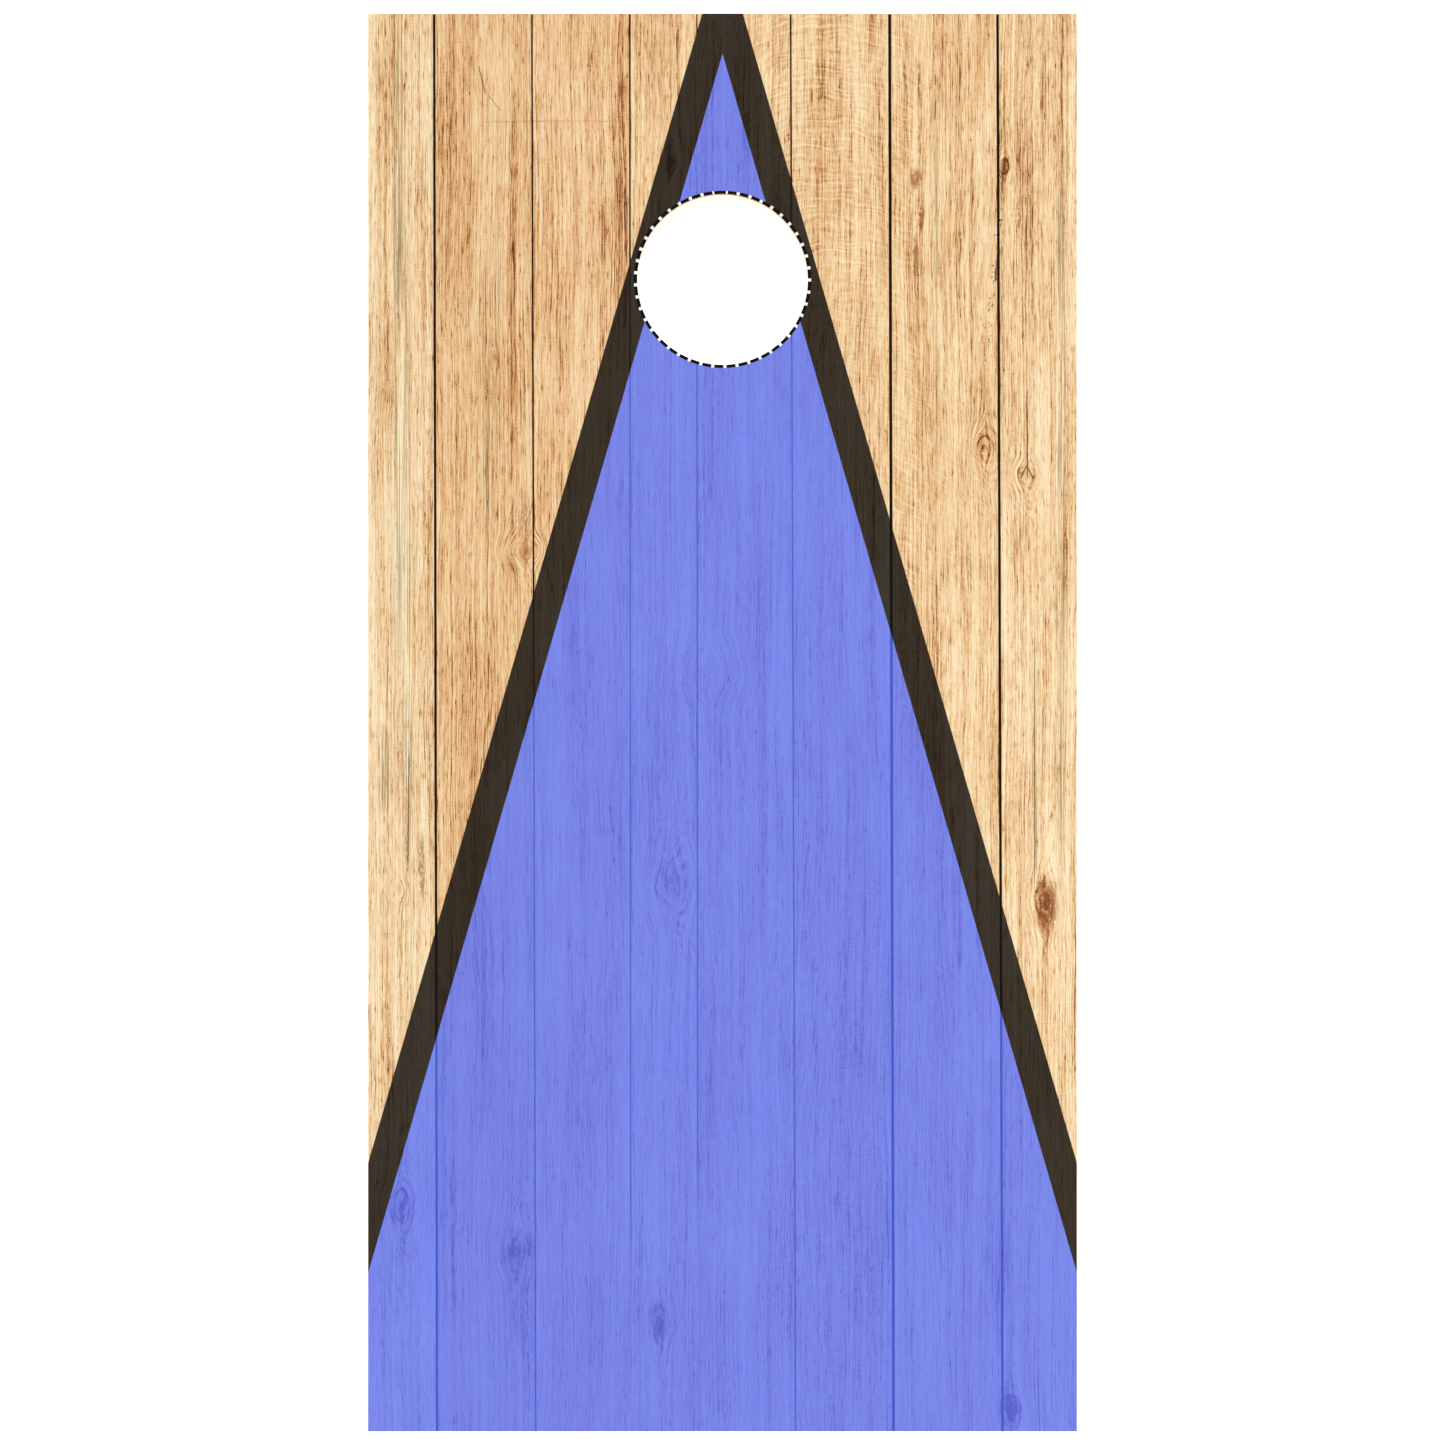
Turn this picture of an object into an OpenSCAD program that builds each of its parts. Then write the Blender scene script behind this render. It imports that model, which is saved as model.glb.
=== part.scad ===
// Cornhole board: plank-faced deck on a lumber frame, with folding rear legs.
// Every piece is drawn on the flat board, with x across it, y from the front edge to the rear
// edge and z up from the frame's bottom edge. in_play() then tips the board onto its front
// edge, to the slope that it has when its legs stand on the ground.

/* [Board] */
// Width of the deck
board_w = 609.6; // [500:0.1:700]
// Length of the deck
board_l = 1219.2; // [1100:0.1:1300]
// Height of the rear top edge over the ground
rear_height = 304.8; // [280:0.1:330]

/* [Deck] */
// Thickness of the plywood core
core_t = 9; // [6:0.1:18]
// Thickness of the face planks
plank_t = 3.7; // [3:0.1:8]
// Thickness of the vinyl decals
decal_t = 0.25; // [0.2:0.01:0.4]
// Shares of the width that the eight face planks take at the rear edge, from the left
plank_share = [56.8, 84.1, 84.2, 57.6, 80.7, 85.1, 92.8, 68.3]; // [50:0.1:100]
// Gap at each of the seven seams between the planks
seam_gap = [1.8, 1.2, 1, 0.8, 1, 2.2, 1.9]; // [0.5:0.1:3]
// Distance by which each seam has moved to the right at the front edge
seam_lean = [2.6, 3.4, 0.9, 0.9, 4.3, 3.4, 4.3]; // [0:0.1:6]

/* [Hole] */
// Outer diameter of the ring decal, which is the regulation hole's circle
ring_d = 152.4; // [140:0.1:160]
// Width of the ring decal
ring_w = 2.8; // [2:0.1:5]
// Number of black dashes on the ring decal
dash_count = 45; // [20:1:50]
// Angle that each dash takes up
dash_angle = 6; // [2:0.1:7]
// Angle from the board's right at which the first dash has its middle
dash_start = 3.6; // [0:0.1:7]
// Distance of the hole's centre from the rear edge
hole_from_rear = 228.6; // [200:0.1:260]

/* [Decals] */
// Distance of the blue triangle's apex from the rear edge
apex_from_rear = 34.6; // [20:0.1:60]
// Distance from the front edge at which the blue triangle meets the side edges
base_from_front = 136; // [100:0.1:200]
// Width of the dark border, measured straight across the board
border_w = 27.5; // [15:0.1:40]

/* [Frame] */
// Thickness of the frame lumber
rail_t = 38.1; // [32:0.1:40]
// Height of the frame lumber
rail_h = 88.9; // [88:0.1:100]
// Radius of the lumber's eased edges
rail_ease = 3; // [1:0.1:5]

/* [Legs] */
// Width of a leg
leg_w = 86; // [70:0.1:86]
// Gap between a leg and the rear rail that it stops against
leg_gap = 0.4; // [0.3:0.1:1]
// Distance of the crossbar's centre below the pivot
crossbar_drop = 150; // [120:1:170]
// Angle by which the legs are folded, from 0 for play to 90 for storage
leg_fold = 0; // [0:1:90]

/* [Hardware] */
// Diameter of the carriage bolts
bolt_d = 9.525; // [8:0.001:10]
// Length of the carriage bolts under the head
bolt_l = 101.6; // [98:0.1:110]
// Number of turns by which the wing nuts are backed off
nut_turns = 0; // [0:0.1:4]

/* [Hidden] */
$fn = 72;
plank_count = len(plank_share);
PLANKS = [for (i = [1:plank_count]) str("face_plank_", i)];
SIDES = ["left", "right"];

// Colours
wood = [0.90, 0.76, 0.59];
pine = [0.87, 0.74, 0.56];
birch = [0.85, 0.72, 0.54];
blue = [0.47, 0.53, 0.90];
smoke = [0.235, 0.20, 0.15];
zinc = [0.72, 0.73, 0.75];
brass_tone = [0.78, 0.66, 0.40];

// Deck levels, from the frame's bottom edge
core_z = rail_h;
face_z = core_z + core_t;
decal_z = face_z + plank_t;

// Slope of the board in play: its front bottom edge and its leg feet are on the ground
tilt = asin(rear_height / norm([board_l, decal_z])) - atan(decal_z / board_l);
y_front = -(decal_z + decal_t) * sin(tilt);
y_rear = board_l * cos(tilt);

half_w = board_w / 2;
hole_y = board_l - hole_from_rear;
ring_r = ring_d / 2;
hole_r = ring_r - ring_w;

// Decal outline: half the triangle's width at distance d from its apex is d * flare
apex_y = board_l - apex_from_rear;
flare = half_w / (apex_y - base_from_front);
border_apex_y = apex_y + border_w / flare;

// Leg geometry: the rounded top swings about the pivot without touching deck or rear rail
pivot_r = leg_w / 2;
pivot_y = board_l - rail_t - leg_gap - pivot_r;
pivot_z = rail_h / 2;
ground_z = function(y) -y * tan(tilt);

// Stack on each bolt, inwards from the side rail's inner face
fit = 0.15;
washer_t = 1.65;
washer_d = 20.6;
washer_bore_d = 10.3;
bore_d = bolt_d + 0.12;
rail_inner = half_w - rail_t;
leg_outer = rail_inner - washer_t - 2 * fit;
leg_inner = leg_outer - rail_t;
clamp_outer = leg_inner - fit;
nut_outer = clamp_outer - washer_t;
bolt_head_d = 20.6;
bolt_head_h = 5;
neck_side = bolt_d;
neck_l = 5;
seat_d = 22.6;
seat_depth = bolt_head_h + 0.3;
head_x = half_w - seat_depth;
nut_hub_d = 17.5;
nut_hub_tip_d = 13.5;
nut_hub_h = 10.5;
wing_span = 37;
wing_h = 19;
wing_t = 3.2;
wing_tip_r = 5.2;
wing_foot_w = 3.5;
wing_foot_z = 1.2;
wing_root = nut_hub_d / 2 - 2.5;
thread_pitch = 25.4 / 16;

// Screws: [head diameter, shank diameter, length, head height]
long_screw = [9.5, 4.8, 76, 4.5];
deck_screw = [8, 4, 32, 3.6];
head_rim = 0.4;
tip_l = 6;
tip_r = 0.3;
recess_w = 1.2;
recess_depth = 2;
recess_span = 0.6;
pilot_fit = 0.05;
cut = 1;

// Places of the screws, on the flat board
screw_inset = 22;
frame_screw_z = [screw_inset, rail_h - screw_inset];
frame_screw_y = [rail_t / 2, board_l / 2, board_l - rail_t / 2];
deck_screw_y = [for (share = [0.05, 0.27, 0.46, 0.73, 0.89]) share * board_l];
deck_screw_x = [-120, 120];
leg_screw_offset = [-screw_inset, screw_inset];
crossbar_h = leg_w;

// Seams between the planks: seam i is on the right of plank i
function sum(v, n, i = 0) = i < n ? v[i] + sum(v, n, i + 1) : 0;
function seam_x(i) = board_w * sum(plank_share, i) / sum(plank_share, plank_count) - half_w;
function lean(i) = i == 0 || i == plank_count ? 0 : seam_lean[i - 1];
function half_gap(i) = i == 0 || i == plank_count ? 0 : seam_gap[i - 1] / 2;

// ---- Placing ----

module in_play() {
    translate([0, -(y_front + y_rear) / 2, 0]) rotate([tilt, 0, 0]) children();
}

module folded() {
    translate([0, pivot_y, pivot_z]) rotate([-leg_fold, 0, 0])
        translate([0, -pivot_y, -pivot_z]) children();
}

// Mirrors a piece that is drawn on the right
module on(side) {
    mirror([side == "left" ? 1 : 0, 0, 0]) children();
}

// ---- Shared shapes ----

// A rectangle with round corners, from its lower left corner
module eased_rect(w, h, r) {
    translate([r, 0]) square([w - 2 * r, h]);
    translate([0, r]) square([w, h - 2 * r]);
    for (x = [r, w - r], y = [r, h - r]) translate([x, y]) circle(r);
}

// A board on edge, along +x from the origin, rail_t thick in y and h high
module lumber_x(l, h) {
    rotate([90, 0, 90]) linear_extrude(l) eased_rect(rail_t, h, rail_ease);
}

// A board on edge, along +y from the origin, rail_t thick in x and rail_h high
module lumber_y(l) {
    translate([0, l, 0]) rotate([90, 0, 0]) linear_extrude(l) eased_rect(rail_t, rail_h, rail_ease);
}

// A countersunk screw with its head's top at the origin and its shank down -z, grown by g
module screw_shape(s, g = 0) {
    head_r = s[0] / 2 + g;
    shank_r = s[1] / 2 + g;
    top = g > 0 ? cut : 0;
    rotate_extrude($fn = 24) polygon([
        [0, top], [head_r, top], [head_r, -head_rim], [shank_r, -s[3]],
        [shank_r, g - s[2] + tip_l], [tip_r + g, -s[2] - g], [0, -s[2] - g]
    ]);
}

module screw(s) {
    recess_l = recess_span * s[0];
    difference() {
        screw_shape(s);
        for (a = [0, 90]) rotate(a) translate([-recess_l / 2, -recess_w / 2, -recess_depth])
            cube([recess_l, recess_w, recess_depth + cut]);
    }
}

module pilot(s) {
    screw_shape(s, pilot_fit);
}

// ---- Places of the screws ----

module at_frame_screws(ys = frame_screw_y) {
    for (side = SIDES) on(side) for (y = ys, z = frame_screw_z)
        translate([half_w, y, z]) rotate([0, 90, 0]) children();
}

module at_deck_screws() {
    for (x = [-half_w + rail_t / 2, half_w - rail_t / 2], y = deck_screw_y)
        translate([x, y, face_z]) children();
    for (x = deck_screw_x, y = frame_screw_y) translate([x, y, face_z]) children();
}

module at_leg_screws() {
    for (side = SIDES) on(side) for (d = leg_screw_offset)
        translate([leg_outer, pivot_y, pivot_z - crossbar_drop + d]) rotate([0, 90, 0]) children();
}

// ---- Deck ----

module board_outline() {
    translate([-half_w, 0]) square([board_w, board_l]);
}

module hole_outline(r = hole_r) {
    translate([0, hole_y]) circle(r, $fn = 144);
}

module deck_core() {
    color(birch) difference() {
        translate([0, 0, core_z]) linear_extrude(core_t) difference() {
            board_outline();
            hole_outline();
        }
        at_deck_screws() pilot(deck_screw);
    }
}

module face_plank(i) {
    left = seam_x(i - 1) + half_gap(i - 1);
    right = seam_x(i) - half_gap(i);
    color(wood) translate([0, 0, face_z]) linear_extrude(plank_t) difference() {
        polygon([[left + lean(i - 1), 0], [right + lean(i), 0], [right, board_l], [left, board_l]]);
        hole_outline();
    }
}

// ---- Decals ----

// The part of the board inside a triangle with its apex at y = tip
module wedge(tip) {
    intersection() {
        board_outline();
        polygon([[0, tip], [-flare * tip, 0], [flare * tip, 0]]);
    }
}

module triangle_decal() {
    color(blue) translate([0, 0, decal_z]) linear_extrude(decal_t) difference() {
        wedge(apex_y);
        hole_outline(ring_r);
    }
}

module border_decal() {
    color(smoke) translate([0, 0, decal_z]) linear_extrude(decal_t) difference() {
        wedge(border_apex_y);
        wedge(apex_y);
        hole_outline(ring_r);
    }
}

module ring_sector(angle) {
    rotate_extrude(angle = angle, $fn = 144) translate([hole_r, 0]) square([ring_w, decal_t]);
}

module ring_sectors(start, angle) {
    pitch = 360 / dash_count;
    translate([0, hole_y, decal_z])
        for (k = [0:dash_count - 1]) rotate(k * pitch + dash_start + start) ring_sector(angle);
}

module ring_decal() {
    color("white") ring_sectors(dash_angle / 2, 360 / dash_count - dash_angle);
}

module ring_decal_dashes() {
    color([0.03, 0.03, 0.03]) ring_sectors(-dash_angle / 2, dash_angle);
}

// ---- Frame ----

module end_rail(y) {
    color(pine) difference() {
        translate([-rail_inner, y, 0]) lumber_x(2 * rail_inner, rail_h);
        at_frame_screws([y + rail_t / 2]) pilot(long_screw);
        at_deck_screws() pilot(deck_screw);
    }
}

module front_rail() {
    end_rail(0);
}

module rear_rail() {
    end_rail(board_l - rail_t);
}

module mid_brace() {
    end_rail(board_l / 2 - rail_t / 2);
}

module side_rail(side) {
    color(pine) difference() {
        on(side) translate([rail_inner, 0, 0]) lumber_y(board_l);
        at_frame_screws() pilot(long_screw);
        at_deck_screws() pilot(deck_screw);
        on(side) translate([rail_inner - cut, pivot_y, pivot_z]) rotate([0, 90, 0])
            cylinder(h = rail_t + 2 * cut, d = bore_d);
        on(side) translate([head_x - neck_l - fit, pivot_y, pivot_z])
            translate([0, -neck_side / 2 - pilot_fit, -neck_side / 2 - pilot_fit])
                cube([neck_l + fit + cut, neck_side + 2 * pilot_fit, neck_side + 2 * pilot_fit]);
        on(side) translate([head_x, pivot_y, pivot_z]) rotate([0, 90, 0])
            cylinder(h = seat_depth + cut, d = seat_d);
    }
}

module deck_screws() {
    color(brass_tone) at_deck_screws() screw(deck_screw);
}

module frame_screws() {
    color(brass_tone) at_frame_screws() screw(long_screw);
}

// ---- Legs ----

// Outline of a leg, drawn in the (y, z) plane: round top, sides square to the deck, and a foot
// that is cut along the ground
module leg_outline() {
    y0 = pivot_y - pivot_r;
    y1 = pivot_y + pivot_r;
    translate([pivot_y, pivot_z]) circle(pivot_r, $fn = 96);
    polygon([[y0, ground_z(y0)], [y1, ground_z(y1)], [y1, pivot_z], [y0, pivot_z]]);
}

module leg(side) {
    color(pine) folded() difference() {
        on(side) translate([leg_inner, 0, 0]) rotate([90, 0, 90]) linear_extrude(rail_t) leg_outline();
        on(side) translate([leg_inner - cut, pivot_y, pivot_z]) rotate([0, 90, 0])
            cylinder(h = rail_t + 2 * cut, d = bore_d);
        at_leg_screws() pilot(long_screw);
    }
}

module leg_crossbar() {
    color(pine) folded() difference() {
        translate([-leg_inner, pivot_y - rail_t / 2, pivot_z - crossbar_drop - crossbar_h / 2])
            lumber_x(2 * leg_inner, crossbar_h);
        at_leg_screws() pilot(long_screw);
    }
}

module leg_screws() {
    color(brass_tone) folded() at_leg_screws() screw(long_screw);
}

// ---- Pivot hardware, drawn along +x on the right side ----

module at_pivot(side, x) {
    on(side) translate([x, pivot_y, pivot_z]) rotate([0, 90, 0]) children();
}

module carriage_bolt(side) {
    cap_r = (bolt_head_d ^ 2 / 4 + bolt_head_h ^ 2) / (2 * bolt_head_h);
    color(zinc) {
        at_pivot(side, head_x) intersection() {
            translate([0, 0, bolt_head_h - cap_r]) sphere(cap_r, $fn = 96);
            cylinder(h = bolt_head_h + cut, d = bolt_head_d + cut);
        }
        at_pivot(side, head_x) translate([-neck_side / 2, -neck_side / 2, -neck_l])
            cube([neck_side, neck_side, neck_l]);
        at_pivot(side, head_x - bolt_l) cylinder(h = bolt_l, d = bolt_d);
    }
}

module washer() {
    difference() {
        cylinder(h = washer_t, d = washer_d);
        translate([0, 0, -cut]) cylinder(h = washer_t + 2 * cut, d = washer_bore_d);
    }
}

module spacer_washer(side) {
    color(zinc) at_pivot(side, rail_inner - washer_t - fit) washer();
}

module clamp_washer(side) {
    color(zinc) at_pivot(side, nut_outer - nut_turns * thread_pitch) washer();
}

// Half of a wing nut's wings, in the plane of the bolt's axis: a tongue that leans outwards from
// the hub to a round tip
module wing_outline() {
    tip = [wing_span / 2 - wing_tip_r, wing_h - wing_tip_r];
    polygon([
        [wing_root, wing_foot_z], [wing_root + wing_foot_w, wing_foot_z],
        [tip.x + wing_tip_r, tip.y], [tip.x - wing_tip_r, tip.y],
        [wing_root, nut_hub_h - wing_foot_z]
    ]);
    translate(tip) circle(wing_tip_r, $fn = 48);
}

module wing_nut(side) {
    color(zinc) at_pivot(side, nut_outer - nut_turns * thread_pitch) rotate([180, 0, 360 * nut_turns])
        difference() {
            union() {
                cylinder(h = nut_hub_h, d1 = nut_hub_d, d2 = nut_hub_tip_d);
                for (a = [0, 180]) rotate([90, 0, a]) translate([0, 0, -wing_t / 2])
                    linear_extrude(wing_t) wing_outline();
            }
            translate([0, 0, -cut]) cylinder(h = wing_h + 2 * cut, d = bore_d);
        }
}

// ---- Nodes ----

in_play() deck_core();
for (i = [1:plank_count]) in_play() face_plank(i);
in_play() triangle_decal();
in_play() border_decal();
in_play() ring_decal();
in_play() ring_decal_dashes();
in_play() front_rail();
in_play() rear_rail();
in_play() mid_brace();
in_play() deck_screws();
in_play() frame_screws();
in_play() leg_crossbar();
in_play() leg_screws();
for (s = SIDES) {
    in_play() side_rail(s);
    in_play() leg(s);
    in_play() carriage_bolt(s);
    in_play() spacer_washer(s);
    in_play() clamp_washer(s);
    in_play() wing_nut(s);
}
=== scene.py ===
import math

import bmesh
import bpy
from mathutils import Matrix, Vector, noise


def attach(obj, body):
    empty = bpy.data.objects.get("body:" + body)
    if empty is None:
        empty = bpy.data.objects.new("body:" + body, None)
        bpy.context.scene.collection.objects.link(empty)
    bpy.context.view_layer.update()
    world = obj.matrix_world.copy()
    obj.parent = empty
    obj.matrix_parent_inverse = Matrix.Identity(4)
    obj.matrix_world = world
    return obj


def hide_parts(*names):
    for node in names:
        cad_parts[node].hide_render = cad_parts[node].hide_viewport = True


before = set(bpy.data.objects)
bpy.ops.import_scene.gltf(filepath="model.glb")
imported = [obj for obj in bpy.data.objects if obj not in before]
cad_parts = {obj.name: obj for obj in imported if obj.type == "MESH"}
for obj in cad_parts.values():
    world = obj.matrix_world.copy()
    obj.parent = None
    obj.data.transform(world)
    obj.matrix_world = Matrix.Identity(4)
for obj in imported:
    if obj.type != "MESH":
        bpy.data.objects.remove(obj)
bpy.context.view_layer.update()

# ---------------------------------------------------------------- sizes, in millimetres
# Pieces are drawn on the flat board: x across it, y from the front edge to the rear edge and
# z up from the frame's bottom edge. DECK tips them into play, as the CAD model does.
MM = 0.001
BOARD_W = 609.6
BOARD_L = 1219.2
HALF_W = BOARD_W / 2
REAR_HEIGHT = 304.8
RAIL_T = 38.1
RAIL_H = 88.9
LUMBER_ROUND = 3.0
CORE_T = 9.0
PLIES = 7
PLANK_T = 3.7
FILM_T = 0.25
PRINT_T = 0.2  # of the visible film, which also dips into the seams
CORE_Z = RAIL_H
FACE_Z = CORE_Z + CORE_T
TOP_Z = FACE_Z + PLANK_T

PLANK_SHARE = [56.8, 84.1, 84.2, 57.6, 80.7, 85.1, 92.8, 68.3]
SEAM_GAP = [1.8, 1.2, 1.0, 0.8, 1.0, 2.2, 1.9]
SEAM_LEAN = [2.6, 3.4, 0.9, 0.9, 4.3, 3.4, 4.3]
SEAM_X = [sum(PLANK_SHARE[: i + 1]) - HALF_W for i in range(len(SEAM_GAP))]
PLANKS = len(PLANK_SHARE)
HOLED_PLANKS = (4, 5, 6)

HOLE_Y = BOARD_L - 228.6
RING_R = 76.2
RING_W = 2.8
HOLE_R = RING_R - RING_W
DASHES = 45
DASH_ANGLE = 6.0
DASH_START = 3.6
LONG_DASH = 11
LONG_DASH_ANGLE = 7.75

APEX_Y = BOARD_L - 34.6
FLARE = HALF_W / (APEX_Y - 136)
BORDER_APEX_Y = APEX_Y + 27.5 / FLARE

FIT = 0.15
LEG_W = 86.0
PIVOT_R = LEG_W / 2
PIVOT_Y = BOARD_L - RAIL_T - 0.4 - PIVOT_R
PIVOT_Z = RAIL_H / 2
CROSSBAR_DROP = 150.0
WASHER_T = 1.65
WASHER_R = 10.3
WASHER_BORE_R = 5.15
RAIL_INNER = HALF_W - RAIL_T
LEG_OUTER = RAIL_INNER - WASHER_T - 2 * FIT
LEG_INNER = LEG_OUTER - RAIL_T
CLAMP_OUTER = LEG_INNER - FIT
NUT_OUTER = CLAMP_OUTER - WASHER_T
BOLT_R = 9.525 / 2
BOLT_L = 101.6
BOLT_PITCH = 25.4 / 16
BORE_R = BOLT_R + 0.06
NECK_L = 5.0
HEAD_R = 10.3
HEAD_H = 5.0
SEAT_R = 11.3
HEAD_X = HALF_W - HEAD_H - 0.3

# Screws: head radius, shank radius, length, head height, thread pitch
LONG_SCREW = (4.75, 2.4, 76.0, 4.5, 2.6)
DECK_SCREW = (4.0, 2.0, 32.0, 3.6, 2.0)
SCREW_INSET = 22.0
SCREW_GAP = 0.06
FRAME_SCREW_Z = (SCREW_INSET, RAIL_H - SCREW_INSET)
FRAME_SCREW_Y = (RAIL_T / 2, BOARD_L / 2, BOARD_L - RAIL_T / 2)
DECK_SCREW_Y = [share * BOARD_L for share in (0.05, 0.27, 0.46, 0.73, 0.89)]
DECK_SCREW_X = (-120, 120)
SIDES = (("left", -1), ("right", 1))

TILT = math.asin(REAR_HEIGHT / math.hypot(BOARD_L, TOP_Z)) - math.atan(TOP_Z / BOARD_L)
Y_FRONT = -(TOP_Z + FILM_T) * math.sin(TILT)
Y_REAR = BOARD_L * math.cos(TILT)
DECK = Matrix.Translation((0, -(Y_FRONT + Y_REAR) / 2 * MM, 0)) @ Matrix.Rotation(TILT, 4, "X")

# Knots of the face planks: x, distance from the rear edge, half width, half length, darkness of
# the heart, darkness of the rim
KNOTS = [
    (242, 131, 3.4, 5.5, 0.42, 0.8), (225, 371, 5.5, 8.5, 0.3, 0.32),
    (261, 397, 6.5, 6, 0.42, 0.32), (277, 762, 6.5, 13, 0.72, 0.45),
    (-170, 461, 9, 6.5, 0.3, 0.15), (-45, 126, 4.5, 9, 0.7, 0.3),
    (-44, 750, 10, 15, 0.5, 0.35), (-178, 1063, 8, 14, 0.55, 0.35),
    (-55, 1127, 6, 13, 0.9, 0.4), (-277, 1025, 8, 11, 0.45, 0.35),
    (248, 1200, 7, 10, 0.8, 0.4), (79, 814, 4, 7, 0.5, 0.2),
    (-10, 566, 12, 13, 0.25, 0.1), (-196, 296, 3, 5, 0.32, 0.1),
    (-279, 754, 4, 5, 0.25, 0.1), (-237, 1034, 2.5, 4.5, 0.4, 0.2),
]

# Where growth rings swell round a knot: x, distance from the rear edge, half width, half length
# and how many rings it pushes out
SWELLS = [
    (-44, 745, 24, 58, 11), (225, 380, 15, 28, 6), (261, 397, 14, 26, 6), (277, 765, 15, 34, 6),
    (-178, 1063, 18, 60, 7), (-55, 1127, 11, 30, 5), (-277, 1025, 15, 34, 6),
    (242, 131, 8, 16, 3), (248, 1200, 13, 30, 5), (-170, 461, 22, 28, 5),
    (-100, 470, 16, 150, 4), (60, 980, 34, 160, 7), (-49, 1184, 9, 30, 4),
    (190, 760, 26, 190, 6), (205, 260, 24, 120, 6), (-212, 700, 18, 150, 5),
    (110, 420, 26, 130, 5),
]

# Splits in the planks: plank, x, distance from the rear edge of both ends, half width, depth
SPLITS = [(7, 235, 200, 228, 0.5, 1.6), (2, -206.5, 40, 84, 0.35, 0.8),
          (8, 262, 316, 404, 0.3, 0.7)]

# ---------------------------------------------------------------- camera, floor and light
BOARD_SHARE = 0.9813  # of the picture's height that the board fills
LENS = 200
SENSOR = 36
SCREEN_GAMMA = 2.2
FLOOR_HALF = 9.0  # metres

deck_centre = DECK @ (Vector((0, BOARD_L / 2, TOP_Z)) * MM)
deck_normal = Vector((0, -math.sin(TILT), math.cos(TILT)))
deck_up = Vector((0, math.cos(TILT), math.sin(TILT)))
camera_distance = LENS / SENSOR * BOARD_L * MM / BOARD_SHARE


def new_object(name, data):
    """Adds an object to the scene."""
    obj = bpy.data.objects.new(name, data)
    bpy.context.collection.objects.link(obj)
    return obj


camera_data = bpy.data.cameras.new("camera")
camera_data.lens = LENS
camera_data.sensor_width = SENSOR
camera_data.clip_end = 60
camera = new_object("camera", camera_data)
camera_axes = Matrix((deck_up.cross(deck_normal), deck_up, deck_normal)).transposed().to_4x4()
camera_place = deck_centre + deck_normal * camera_distance
camera.matrix_world = Matrix.Translation(camera_place) @ camera_axes
bpy.context.scene.camera = camera
bpy.context.scene.view_settings.view_transform = "Standard"
bpy.context.scene.view_settings.look = "None"


def add_light(name, kind, place, target, energy, size):
    """A soft studio light at place that shines at target."""
    data = bpy.data.lights.new(name, kind)
    data.energy = energy
    if kind == "SUN":
        data.angle = size
    else:
        data.size = size
    light = new_object(name, data)
    aim = (Vector(target) - Vector(place)).to_track_quat("-Z", "Y")
    light.matrix_world = Matrix.Translation(place) @ aim.to_matrix().to_4x4()
    return light


# The overhead light shines the way the camera looks, so it must not glare in the films
overhead = add_light("overhead", "SUN", deck_centre + deck_normal * 4, deck_centre, 1.62,
                     math.radians(6))
overhead.visible_glossy = False
add_light("front_fill", "AREA", (-3.2, -4.4, 2.6), (0, 0, 0.15), 20, 3.0)
add_light("side_fill", "AREA", (4.4, -1.4, 2.0), (0, 0, 0.15), 16, 2.6)
add_light("rear_fill", "AREA", (1.6, 4.6, 2.4), (0, 0, 0.15), 16, 2.6)

world = bpy.data.worlds.new("studio")
bpy.context.scene.world = world
world.use_nodes = True
world.node_tree.nodes["Background"].inputs["Color"].default_value = (1, 1, 1, 1)
world.node_tree.nodes["Background"].inputs["Strength"].default_value = 0.45


# ---------------------------------------------------------------- shader arithmetic
class Field:
    """A value that varies over the surface: the output of a shader node, with arithmetic."""

    def __init__(self, web, socket):
        self.web = web
        self.socket = socket

    def __abs__(self):
        return self.web.math("ABSOLUTE", self)


def operator(operation, swapped=False):
    """A method of Field that makes the math node of an operation."""
    def method(field, other):
        return field.web.math(operation, *((other, field) if swapped else (field, other)))
    return method


for sign, operation in (("add", "ADD"), ("sub", "SUBTRACT"), ("mul", "MULTIPLY"),
                        ("truediv", "DIVIDE")):
    setattr(Field, f"__{sign}__", operator(operation))
    setattr(Field, f"__r{sign}__", operator(operation, swapped=True))


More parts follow.
